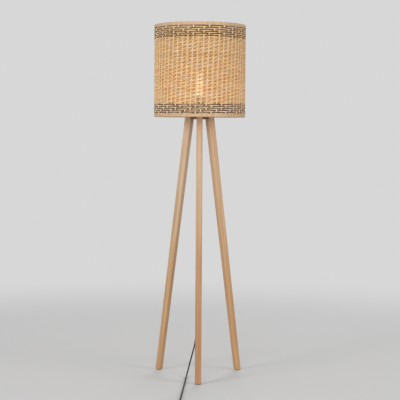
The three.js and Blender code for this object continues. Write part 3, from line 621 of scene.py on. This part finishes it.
shell_low, shell_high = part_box("holder_shell")
bore_radius = 0.0159
thread_radius = 0.0197
thread_depth = 0.0007
thread_turns, thread_pitch = 9, 0.0026
shell_profile = [
    (bore_radius, shell_low[2]),
    (holder_radius, shell_low[2]),
    (shell_high[0], shell_low[2] + 0.0022),
    (shell_high[0], shell_low[2] + 0.0044),
    (thread_radius - 0.0006, shell_low[2] + 0.0044),
]
for thread in range(thread_turns):
    crest = shell_low[2] + 0.0075 + thread * thread_pitch
    shell_profile += [
        (thread_radius - thread_depth, crest - 0.0009),
        (thread_radius, crest),
        (thread_radius, crest + 0.0006),
        (thread_radius - thread_depth, crest + 0.0015),
    ]
shell_profile += [
    (thread_radius - 0.002, shell_high[2]),
    (bore_radius, shell_high[2]),
    (bore_radius, shell_low[2]),
]
skirt = turned(shell_profile, 56)
moulded("holder_skirt", skirt, ["holder_shell"], ease=0.0002)

raw_ceramic = grained(
    "holder ceramic", (700, 4), (0.70, 0.66, 0.58), (0.84, 0.81, 0.74), 0.6, 0.2, (0.00015, 0.4)
)
dressed(raw_ceramic, "holder_insert")
dressed(yellow_brass, "holder_thread_sleeve", "holder_contact")


# Clamp ring: a moulded ring that screws down the holder's skirt and presses the shade's fitter on the
# flange. Its rim is ribbed for the fingers.
ring_low, ring_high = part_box("shade_clamp_ring")
ring_radius = ring_high[0]
ring_bore = thread_radius + 0.0003
ring_ease = 0.0009
ring_ribs, ring_rib_depth = 24, 0.0009


def polar(point):
    """How far a point is from Z, and its angle round it."""
    return math.hypot(point.co.x, point.co.y), math.atan2(point.co.y, point.co.x)


clamp_ring = turned(
    [
        (ring_bore, ring_low[2]),
        (ring_radius - ring_ease, ring_low[2]),
        (ring_radius, ring_low[2] + ring_ease),
        (ring_radius, ring_high[2] - ring_ease),
        (ring_radius - ring_ease, ring_high[2]),
        (ring_bore, ring_high[2]),
        (ring_bore, ring_low[2]),
    ],
    144,
)
for point in clamp_ring.verts:
    reach, angle = polar(point)
    if reach > ring_radius - 0.0002:
        rib = 0.5 + 0.5 * math.cos(ring_ribs * angle)
        point.co.xy *= 1 - ring_rib_depth * (1 - rib**0.5) / reach
moulded("clamp_ring_ribbed", clamp_ring, ["shade_clamp_ring"], body="clamp_ring")


# Bulb: a clear tubular filament lamp, lit. A nickel-plated screw cap is cemented to the glass envelope,
# and four coated filament sticks stand round a glass stem on thin wires.
def wire(shape, start, end, radius, segments=10):
    """Adds a straight round wire between two points."""
    start, end = Vector(start), Vector(end)
    turn = (end - start).to_track_quat("Z", "Y").to_matrix().to_4x4()
    bmesh.ops.create_cone(
        shape,
        cap_ends=True,
        segments=segments,
        radius1=radius,
        radius2=radius,
        depth=(end - start).length,
        matrix=Matrix.Translation((start + end) / 2) @ turn,
    )


nickel = metal("nickel plate", (0.66, 0.64, 0.60, 1), 0.2)
screw_low, screw_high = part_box("bulb_cap")
screw_depth = 0.0007
screw_root = screw_high[0] - screw_depth
screw_inside = screw_root - 0.0006
screw_pitch = 0.003629
screw_start, screw_end = 0.0018, 0.0165
contact_hole = 0.0045
screw_steps = 44
screw_profile = [
    (contact_hole, screw_low[2]),
    (screw_root - 0.001, screw_low[2]),
    (screw_root, screw_low[2] + 0.001),
]
for step in range(screw_steps + 1):
    height = screw_low[2] + 0.0012 + step * (screw_high[2] - screw_low[2] - 0.0016) / screw_steps
    screw_profile.append((screw_root, height))
screw_profile += [
    (screw_inside, screw_high[2]),
    (screw_inside, screw_low[2] + 0.0016),
    (contact_hole, screw_low[2] + 0.0006),
    (contact_hole, screw_low[2]),
]
screw_cap = turned(screw_profile, 40)
for point in screw_cap.verts:
    reach, angle = polar(point)
    rise = point.co.z - screw_low[2]
    if reach > screw_root - 0.0001 and screw_start < rise < screw_end:
        wave = 0.5 - 0.5 * math.cos(2 * math.pi * rise / screw_pitch - angle)
        point.co.xy *= 1 + screw_depth * wave / reach
fitted("bulb_screw_cap", screw_cap, nickel, "bulb", ["bulb_cap"])

glass_low, glass_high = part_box("bulb_glass")
glass_radius = glass_high[0]
glass_wall = 0.0008
glass_centre = glass_high[2] - glass_radius
neck_radius = 0.0119
shoulder = 0.008
outer = [(neck_radius, glass_low[2]), (neck_radius, screw_high[2] - 0.001)]
for step in range(11):
    t = step / 10
    swell = t * t * (3 - 2 * t)
    outer.append((neck_radius + (glass_radius - neck_radius) * swell, screw_high[2] + shoulder * t))
for step in range(25):
    angle = math.pi / 2 * step / 24
    across = glass_radius * math.cos(angle) if step < 24 else 0
    outer.append((across, glass_centre + glass_radius * math.sin(angle)))
inner = []
for index, (radius, height) in enumerate(outer):
    before = Vector(outer[max(index - 1, 0)])
    after = Vector(outer[min(index + 1, len(outer) - 1)])
    slope = (after - before).normalized()
    inner.append((max(radius - glass_wall * slope.y, 0), height + glass_wall * slope.x))
inner[-1] = (0, outer[-1][1] - glass_wall)
envelope = turned([*reversed(inner), *outer], 56)

glass_finish = Finish("bulb glass")
glass = glass_finish.node(
    "ShaderNodeBsdfPrincipled",
    None,
    {
        "Base Color": (1.0, 0.97, 0.90, 1),
        "Roughness": 0.02,
        "IOR": 1.5,
        "Transmission Weight": 1.0,
        "Emission Color": (1.0, 0.79, 0.57, 1),
        "Emission Strength": 0.33,
    },
)
shadow_ray = glass_finish.node("ShaderNodeLightPath", result="Is Shadow Ray")
bulb_glass = glass_finish.thinned(shadow_ray, glass, (1.0, 0.95, 0.86, 1))
fitted("bulb_envelope", envelope, bulb_glass, "bulb", ["bulb_glass"])
dressed(bulb_glass, "bulb_stem")
dressed(yellow_brass, "bulb_contact")
dressed(black_moulding, "bulb_insulator")

lit_finish = Finish("lit filament")
lit_place, *_ = lit_finish.place()
lit_spots = lit_finish.between(lit_finish.noise(lit_place, 900, 1), 0.3, 0.7)
lit_filament = lit_finish.coated(
    base_color=(1.0, 0.72, 0.3, 1),
    roughness=0.5,
    emission_color=lit_finish.mixed(lit_spots, (1.0, 0.66, 0.45, 1), (1.0, 0.74, 0.55, 1)),
    emission_strength=1.0,
)
cage_low, cage_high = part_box("bulb_filaments")
cage_circle = 0.0062
stick_radius, post_radius, stay_radius = 0.0009, 0.0005, 0.0004
stick_low, stick_high = cage_low[2] + 0.004, cage_high[2] - 0.001
sticks = bmesh.new()
cage = bmesh.new()
wire(cage, (0, 0, cage_low[2]), (0, 0, stick_high), post_radius)
for stick in range(4):
    angle = math.radians(45 + 90 * stick)
    x, y = cage_circle * math.cos(angle), cage_circle * math.sin(angle)
    wire(sticks, (x, y, stick_low), (x, y, stick_high), stick_radius, 12)
    wire(cage, (0, 0, stick_low), (x, y, stick_low), stay_radius, 6)
    wire(cage, (0, 0, stick_high), (x, y, stick_high), stay_radius, 6)
fitted("filament_sticks", sticks, lit_filament, "bulb", ["bulb_filaments"])
fitted("filament_wires", cage, nickel, "bulb")

bulb_light = bpy.data.lights.new("bulb_light", "POINT")
bulb_light.energy = 1.5
bulb_light.color = (1.0, 0.66, 0.33)
bulb_light.shadow_soft_size = 0.012
bulb_lamp = bpy.data.objects.new("bulb_light", bulb_light)
bulb_lamp.location = (0, 0, (stick_low + stick_high) / 2)
bulb_lamp.visible_camera = False
bulb_lamp.visible_transmission = False
bulb_lamp.visible_glossy = False
bpy.context.collection.objects.link(bulb_lamp)


# Shade frame: mild steel wire, welded and powder-coated ivory. Two rings and three uprights stiffen the
# weave, and three arms rise from the lower ring to the fitter that sits on the lampholder.
ivory_coat = grained(
    "ivory powder coat", (1500, 2), (0.66, 0.60, 0.50), (0.76, 0.71, 0.61), 0.45, 0.1, (0.0001, 0.5)
)


def outline(shape, segments, circle, height, tall, thick):
    """Adds a wire's outline, tall along Z and thick across it, and returns its points."""
    section = (
        Matrix.Translation((circle, 0, height))
        @ Matrix.Diagonal((thick / 2, 1, tall / 2, 1))
        @ Matrix.Rotation(math.pi / 2, 4, "X")
    )
    return bmesh.ops.create_circle(shape, segments=segments, radius=1, matrix=section)["verts"]


def ring(circle, height, tall, thick, steps):
    """A wire ring about Z."""
    hoop = bmesh.new()
    outline(hoop, 12, circle, height, tall, thick)
    spun(hoop, steps, use_merge=True)
    bmesh.ops.recalc_face_normals(hoop, faces=hoop.faces)
    return hoop


wire_low, wire_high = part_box("shade_ring_bottom")
frame_wire = 0.005
upright_radius, arm_radius = 0.002, 0.0022
frame_circle = wire_high[1] - frame_wire / 2
lower_ring_height = (wire_low[2] + wire_high[2]) / 2
upper_ring_height = (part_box("shade_ring_top")[0][2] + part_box("shade_ring_top")[1][2]) / 2
for name, height in (("bottom", lower_ring_height), ("top", upper_ring_height)):
    hoop = ring(frame_circle, height, frame_wire, frame_wire, 108)
    fitted("frame_ring_" + name, hoop, ivory_coat, "shade", ["shade_ring_" + name])
for side, degrees in sides:
    angle = math.radians(degrees)
    x, y = frame_circle * math.cos(angle), frame_circle * math.sin(angle)
    upright = bmesh.new()
    wire(upright, (x, y, lower_ring_height), (x, y, upper_ring_height), upright_radius, 12)
    node = "shade_upright_" + side
    fitted("frame_upright_" + side, upright, ivory_coat, "shade", [node])

fitter_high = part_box("shade_spider")[1][2]
fitter_low = fitter_high - 0.0015
fitter_bore, fitter_radius = 0.0203, 0.0275
arm_start, arm_end = 0.0262, 0.1836
spider = turned(
    [
        (fitter_bore, fitter_low),
        (fitter_radius, fitter_low),
        (fitter_radius, fitter_high),
        (fitter_bore, fitter_high),
        (fitter_bore, fitter_low),
    ],
    64,
)
for degrees in (90, 210, 330):
    across, along = math.cos(math.radians(degrees)), math.sin(math.radians(degrees))
    knee = (arm_start * across, arm_start * along, fitter_high - 0.0025)
    end = (arm_end * across, arm_end * along, lower_ring_height + 0.0012)
    wire(spider, knee, end, arm_radius, 12)
fitted("fitter_and_arms", spider, ivory_coat, "shade", ["shade_spider"], ease=0.0002)


# Stakes: 54 peeled rattan rods that stand round the drum and lean a little, as the weaver drew them.
# The strands go round them, and each stake shows where a strand passes behind it.
stake_count = 54
stake_circle = 0.1946
stake_wide, stake_thick = 0.0042, 0.0034
stake_angle = math.radians(-90 + 1.34)
stake_lean = math.radians(3.66) / 0.331
stake_known_height = 1.1686
stake_inset = 0.006
stake_steps = 24
drum_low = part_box("shade_edging_bottom")[0][2]
drum_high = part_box("shade_edging_top")[1][2]


def lean(height):
    """How far round the drum the stakes have moved at a height."""
    return stake_lean * (height - stake_known_height)


def rattan(name, light, dark, streak_share):
    """Rattan strands round the drum. Its attributes tell one strand from the next. The colour is
    lighter on the crests and darker in the recesses near the stakes: painted highlight and shade.
    """
    finish = Finish(name)
    _, x, y, z = finish.place()
    along = finish.math("ARCTAN2", y, x) * stake_circle
    across = finish.math("SQRT", x * x + y * y)
    strand = finish.node("ShaderNodeAttribute", {"attribute_name": "strand"}, result="Fac")
    stain = finish.node("ShaderNodeAttribute", {"attribute_name": "stain"}, result="Fac")
    own = finish.node("ShaderNodeTexWhiteNoise", {"noise_dimensions": "1D"}, {"W": strand})
    # Painted highlight and shade: strands are lighter where they stand out from the stakes, darker in
    # the recesses.
    crest_light_and_recess_shade = finish.between(finish.math("ABSOLUTE", across - stake_circle), 0.0009, 0.0030)
    shift = strand * 0.37
    streaks = finish.noise(finish.joined(along * 0.05 + shift, across, z), 1500, 3, 0.6)
    patches = finish.noise(finish.joined(along + shift, across * 0.2, z * 0.2 + shift), 26, 3)
    tone = finish.between(own * 0.5 + patches * 0.75, 0.25, 0.95)
    bare_with_painted_shade = finish.mixed(tone * 0.4 + crest_light_and_recess_shade * 0.6, dark, light)
    streaked = finish.mixed(finish.between(streaks, 0.5, 0.8) * streak_share, bare_with_painted_shade, dark)
    stained = finish.mixed(streaks, (0.040, 0.020, 0.010, 1), (0.115, 0.058, 0.030, 1))
    return finish.coated(
        base_color=finish.mixed(stain, streaked, stained),
        roughness=0.55 + streaks * 0.2,
        specular_ior_level=0.25,
        normal=finish.bump(streaks, 0.0003, 0.6),
    )


peeled_finish = Finish("peeled rattan")
_, peeled_x, peeled_y, peeled_z = peeled_finish.place()
peeled_streaks = peeled_finish.noise(
    peeled_finish.joined(peeled_x, peeled_y, peeled_z * 0.03), 1200, 3, 0.6
)
peeled_rattan = peeled_finish.coated(
    base_color=peeled_finish.mixed(peeled_streaks, (0.80, 0.60, 0.40, 1), (0.97, 0.84, 0.65, 1)),
    roughness=0.5,
    normal=peeled_finish.bump(peeled_streaks, 0.0002, 0.5),
)
stakes = bmesh.new()
section = Matrix.Translation((stake_circle, 0, drum_low + stake_inset)) @ Matrix.Diagonal(
    (stake_thick / 2, stake_wide / 2, 1, 1)
)
bmesh.ops.create_circle(stakes, segments=8, radius=1, matrix=section)
stake_rise = (drum_high - drum_low - 2 * stake_inset) / stake_steps
spun(stakes, stake_steps, 0, dvec=(0, 0, stake_rise), use_duplicate=False)
bmesh.ops.holes_fill(stakes, edges=stakes.edges, sides=8)
bmesh.ops.recalc_face_normals(stakes, faces=stakes.faces)
turned_stakes = stake_count - 1
turned_angle = 2 * math.pi * turned_stakes / stake_count
spun(stakes, turned_stakes, turned_angle, use_duplicate=True)
for point in stakes.verts:
    point.co.xy = Matrix.Rotation(stake_angle + lean(point.co.z), 2) @ point.co.xy
fitted("stakes", stakes, peeled_rattan, "shade")


# Weave: round rattan strands in closed rows, each over two stakes and under the third. Each row of the
# body starts one stake further on, so the places where stakes show climb to the right.
# The borders pair a brown-stained strand with a plain one, which is paler in the lower border.
strand_samples = 5
strand_bend = 0.0035
behind_narrowing = 0.125
wobble_turns = (2, 3, 5, 7, 11, 17)
patch_edge, patch_waves = 0.95, 5
stain_gained, stain_lost = 0.26, 0.5


def woven(rows, seed, sway, unrest, faded=()):
    """Rows of strand round the drum, each a height, size, first stake passed behind, and stain.
    Rows sway towards the gap over a stake that shows, and are uneven by their unrest. Round the
    faded places, in degrees, the stain has run into the plain strands."""
    chance = random.Random(seed)
    cloth = bmesh.new()
    strand = cloth.verts.layers.float.new("strand")
    stain = cloth.verts.layers.float.new("stain")
    wobbles = []
    for number, (height, tall, thick, phase, stained) in enumerate(rows):
        for point in outline(cloth, 6, stake_circle, height, tall, thick):
            point[strand] = number + 1
            point[stain] = stained
        wobbles.append([(chance.choice(wobble_turns), chance.uniform(0, 6.28)) for _ in range(3)])
    spun(cloth, stake_count * strand_samples, use_merge=True)
    for point in cloth.verts:
        number = round(point[strand]) - 1
        height, tall, thick, phase, stained = rows[number]
        reach, angle = polar(point)
        stake = (angle - stake_angle - lean(height)) * stake_count / (2 * math.pi)
        step = (stake - phase) % 3
        if step < 1:
            wave = -math.cos(math.pi * step)
        elif step > 2:
            wave = -math.cos(math.pi * (3 - step))
        else:
            wave = 1 - 0.3 * math.sin(math.pi * (step - 1))
        point.co.xy *= (reach + strand_bend * wave) / reach
        drift = sum(math.sin(turns * angle + start) for turns, start in wobbles[number])
        narrowed = 1 - behind_narrowing * (1 - wave)
        point.co.z = height + (point.co.z - height) * narrowed
        point.co.z += unrest * drift + sway * math.sin(2 * math.pi * step / 3)
        for place in faded:
            away = math.degrees(angle) - place - 2 * drift
            near = math.cos(math.radians(away)) > patch_edge
            run = max(0, math.cos(math.radians(away * patch_waves))) if near else 0
            point[stain] += (stain_gained - stained * stain_lost) * run
    bmesh.ops.recalc_face_normals(cloth, faces=cloth.faces)
    return cloth


natural_rattan = rattan("natural rattan", (0.82, 0.56, 0.285, 1), (0.34, 0.16, 0.035, 1), 0.3)
lower_rattan = rattan("lower border rattan", (0.83, 0.61, 0.38, 1), (0.35, 0.19, 0.09, 1), 0.3)
strand_tall, strand_thick = 0.0046, 0.0036
body_low, body_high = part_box("shade_weave")[0][2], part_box("shade_weave")[1][2]
row_count = 53
row_pitch = (body_high - body_low) / row_count
body_rows = [
    (body_low + (row + 0.5) * row_pitch, strand_tall, strand_thick, row % 3, 0)
    for row in range(row_count)
]
cloth = woven(body_rows, 3, sway=0.0006, unrest=0.00013)
fitted("woven_body", cloth, natural_rattan, "shade", ["shade_weave"])

dark_tall, dark_thick = 0.0044, 0.0036
plain_tall, plain_thick = 0.0041, 0.0034
pair_step = 0.0041


def border(heights, phases, spare):
    """Pairs of a stained and a plain strand, and one spare plain strand at a height."""
    rows = [(spare, plain_tall, plain_thick, (phases[-1] + 1) % 3, 0)]
    for height, phase in zip(heights, phases):
        rows.append((height, dark_tall, dark_thick, phase, 1))
        rows.append((height - pair_step, plain_tall, plain_thick, phase, 0))
    return rows


lower_border = border((1.1884, 1.1804, 1.1724, 1.1639, 1.1550), (1, 2, 1, 0, 2), 1.1921)
upper_border = border((1.5194, 1.5111, 1.5026, 1.4941, 1.4858, 1.4774), (1, 0, 2, 0, 1, 0), 1.4694)
lower_faded = (-168, -93, -36, 22, 75, 128)
upper_faded = (-141, -112, -38, 14, 66, 110, 165)
for name, rows, seed, faded, finish in (
    ("bottom", lower_border, 5, lower_faded, lower_rattan),
    ("top", upper_border, 8, upper_faded, natural_rattan),
):
    cloth = woven(rows, seed, sway=0, unrest=0.0003, faded=faded)
    fitted("woven_border_" + name, cloth, finish, "shade", ["shade_band_" + name])


# Edgings: the two rims of the drum, in peeled rattan. The stakes are bent over at each rim, and flat
# cane is wrapped tightly round them.
wrap_count, wrap_swell = 162, 0.00045
rim_thick, rim_inset = 0.0105, 0.0004
rim_cane = rattan("rim cane", (0.62, 0.43, 0.26, 1), (0.30, 0.165, 0.085, 1), 0.5)


def edging(name, node):
    """A wrapped rim in place of its node."""
    low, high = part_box(node)
    circle = high[1] - rim_thick / 2 - rim_inset
    middle = (low[2] + high[2]) / 2
    half_tall, half_thick = (high[2] - low[2]) / 2 - rim_inset, rim_thick / 2 - rim_inset
    hoop = ring(circle, middle, 2 * half_tall, 2 * half_thick, wrap_count * 6)
    wrap = hoop.verts.layers.float.new("strand")
    for point in hoop.verts:
        reach, angle = polar(point)
        round_rim = math.atan2(point.co.z - middle, reach - circle)
        turn = wrap_count * angle / (2 * math.pi) + 0.9 * round_rim / (2 * math.pi)
        point[wrap] = math.floor(turn)
        swell = wrap_swell * abs(math.sin(math.pi * turn)) ** 0.5
        grown = Vector((reach - circle, point.co.z - middle))
        flat = (grown.x / half_thick) ** 4 + (grown.y / half_tall) ** 4
        grown *= flat**-0.25 * (1 + swell / grown.length)
        point.co.xy *= (circle + grown.x) / reach
        point.co.z = middle + grown.y
    return fitted(name, hoop, rim_cane, "shade", [node])


for rim in ("bottom", "top"):
    edging("wrapped_rim_" + rim, "shade_edging_" + rim)


# Foot switch: a low moulded case in two halves with a round button on a spring, between two ribbed
# sleeves. The spring is a helix of wire, drawn at its rest length; the real one shortens as the button
# goes down.
switch_length = switch_high[1] - switch_low[1]
switch_width = switch_high[0] - switch_low[0]
switch_place = (switch_middle.x, switch_middle.y, 0)
cover_low, cover_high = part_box("switch_cover")
button_low, button_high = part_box("switch_button")
button_radius = 0.0116
button_flange = button_radius + 0.0018
switch_corner = 0.02
cover_skin, cover_ease = 0.0024, 0.0045


def switch_plate(low, high):
    """A flat block in the switch's outline, between two heights."""
    plate = bmesh.new()
    bmesh.ops.create_cube(plate, size=1)
    bmesh.ops.scale(plate, vec=(switch_width, switch_length, high - low), verts=plate.verts)
    rounded(plate, switch_corner, 9)
    moved(plate, (0, 0, (low + high) / 2))
    return plate


base = switch_plate(switch_low[2], switch_high[2])
moved(base, switch_place)
moulded("switch_tray", base, ["switch_base"], ease=0.0008)

cover = switch_plate(cover_low[2], cover_high[2])
top_faces = [face for face in cover.faces if face.normal.z > 0.9]
bottom_faces = [face for face in cover.faces if face.normal.z < -0.9]
bmesh.ops.delete(cover, geom=bottom_faces, context="FACES_ONLY")
rounded(cover, cover_ease, 5, list(top_faces[0].edges))
level_faces = [face for face in cover.faces if face.normal.z > 0.99]
top_face = max(level_faces, key=lambda face: face.calc_area())
lid_edges = list(top_face.edges)
bmesh.ops.delete(cover, geom=[top_face], context="FACES_ONLY")
hole = bmesh.ops.create_circle(
    cover,
    segments=40,
    radius=button_radius + 0.0003,
    matrix=Matrix.Translation((0, 0, cover_high[2])),
)["verts"]
hole_edges = list({edge for point in hole for edge in point.link_edges})
bmesh.ops.bridge_loops(cover, edges=lid_edges + hole_edges)
wall = bmesh.ops.extrude_edge_only(cover, edges=hole_edges)["geom"]
wall_points = [item for item in wall if isinstance(item, bmesh.types.BMVert)]
bmesh.ops.translate(cover, vec=(0, 0, -cover_skin), verts=wall_points)
bmesh.ops.recalc_face_normals(cover, faces=cover.faces)
moved(cover, switch_place)
moulded("switch_lid", cover, ["switch_cover"])

button = turned(
    [
        (0, button_low[2]),
        (button_flange, button_low[2]),
        (button_flange, button_low[2] + 0.002),
        (button_radius, button_low[2] + 0.002),
        (button_radius, button_high[2] - 0.0016),
        (button_radius - 0.0005, button_high[2] - 0.0006),
        (button_radius - 0.0016, button_high[2]),
        (0.0076, button_high[2] - 0.0001),
        (0.0070, button_high[2] - 0.0007),
        (0.0064, button_high[2] - 0.0001),
        (0.003, button_high[2]),
        (0, button_high[2]),
    ],
    48,
)
moved(button, switch_place)
moulded("switch_knob", button, ["switch_button"], body="button")

spring_low, spring_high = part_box("switch_spring")
spring_wire, spring_turns, turn_steps = 0.0011, 3.5, 24
spring_height = spring_high[2] - spring_low[2]
spring_steps = int(spring_turns * turn_steps)
spring = bmesh.new()
spring_circle = (spring_high[0] - spring_low[0] - spring_wire) / 2
outline(spring, 8, spring_circle, spring_low[2] + spring_wire / 2, spring_wire, spring_wire)
spring_rise = (spring_height - spring_wire) / spring_steps
spring_angle = 2 * math.pi * spring_turns
spun(spring, spring_steps, spring_angle, dvec=(0, 0, spring_rise), use_duplicate=False)
bmesh.ops.holes_fill(spring, edges=spring.edges, sides=8)
bmesh.ops.recalc_face_normals(spring, faces=spring.faces)
moved(spring, switch_place)
button_spring = fitted("button_spring", spring, zinc, "stand", ["switch_spring"])
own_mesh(button_spring)
for name, node, way in (("in", "switch_relief_in", 1), ("out", "switch_relief_out", -1)):
    low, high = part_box(node)
    wide_end = (switch_middle.x, low[1] if way > 0 else high[1], 0.006)
    relief("switch_sleeve_" + name, wide_end, (0, way, 0), high[1] - low[1], 0.005, node)


# Plug: a flat two-pin plug, moulded on the end of the flex in black PVC. Its pins are nickel-plated,
# and sleeved over the half next to the body.
plug_low, plug_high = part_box("plug_body")
plug_middle = (Vector(plug_low) + Vector(plug_high)) / 2
half_width = (plug_high[0] - plug_low[0]) / 2
nose_half_width, nose_length = 0.0072, 0.0135
plug_corner = 0.003
plug = bmesh.new()
corners = [
    (-nose_half_width, plug_high[1]),
    (-half_width, plug_high[1] - nose_length),
    (-half_width, plug_low[1]),
    (half_width, plug_low[1]),
    (half_width, plug_high[1] - nose_length),
    (nose_half_width, plug_high[1]),
]
floor_points = [plug.verts.new((plug_middle.x + x, y, plug_low[2])) for x, y in corners]
plug_floor = plug.faces.new(floor_points)
grown = bmesh.ops.extrude_face_region(plug, geom=[plug_floor])["geom"]
grown_points = [item for item in grown if isinstance(item, bmesh.types.BMVert)]
bmesh.ops.translate(plug, vec=(0, 0, plug_high[2] - plug_low[2]), verts=grown_points)
bmesh.ops.recalc_face_normals(plug, faces=plug.faces)
rounded(plug, plug_corner, 4)
moulded("plug_case", plug, ["plug_body"], ease=0.0022)
low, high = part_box("plug_relief")
wide_end = (plug_middle.x, low[1], plug_middle.z)
relief("plug_sleeve", wide_end, (0, 1, 0), high[1] - low[1], 0.0052, "plug_relief")
pin_radius, sleeve_radius = 0.0019, 0.002
pin_profile = [(0, 0), (pin_radius, 0), (pin_radius, 0.0172)]
pin_profile += [(0.0016, 0.0184), (0.0009, 0.019), (0, 0.019)]
sleeve_profile = [(pin_radius, 0), (sleeve_radius, 0), (sleeve_radius, 0.0098)]
sleeve_profile += [(pin_radius, 0.01), (pin_radius, 0)]
lying = Matrix.Rotation(math.pi / 2, 3, "X")
pins = bmesh.new()
sleeves = bmesh.new()
for node in ("plug_pin_left", "plug_pin_right"):
    low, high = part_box(node)
    x, z = (low[0] + high[0]) / 2, (low[2] + high[2]) / 2
    for target, profile in ((pins, pin_profile), (sleeves, sleeve_profile)):
        shape = turned(profile, 24)
        moved(shape, (x, high[1], z), lying)
        mesh = bpy.data.meshes.new("pin")
        shape.to_mesh(mesh)
        shape.free()
        target.from_mesh(mesh)
        bpy.data.meshes.remove(mesh)
fitted("plug_pins", pins, nickel, "stand", ["plug_pin_left", "plug_pin_right"])
moulded("plug_pin_sleeves", sleeves)


# Tie: a strip of black hook-and-loop strap. It is wound round the strands of the coil and pressed
# closed on itself.
strap = grained(
    "strap", (2200, 3, 0.7), (0.010, 0.010, 0.010), (0.05, 0.05, 0.05), 0.9, 0, (0.0003, 0.8)
)
dressed(strap, "cord_tie")
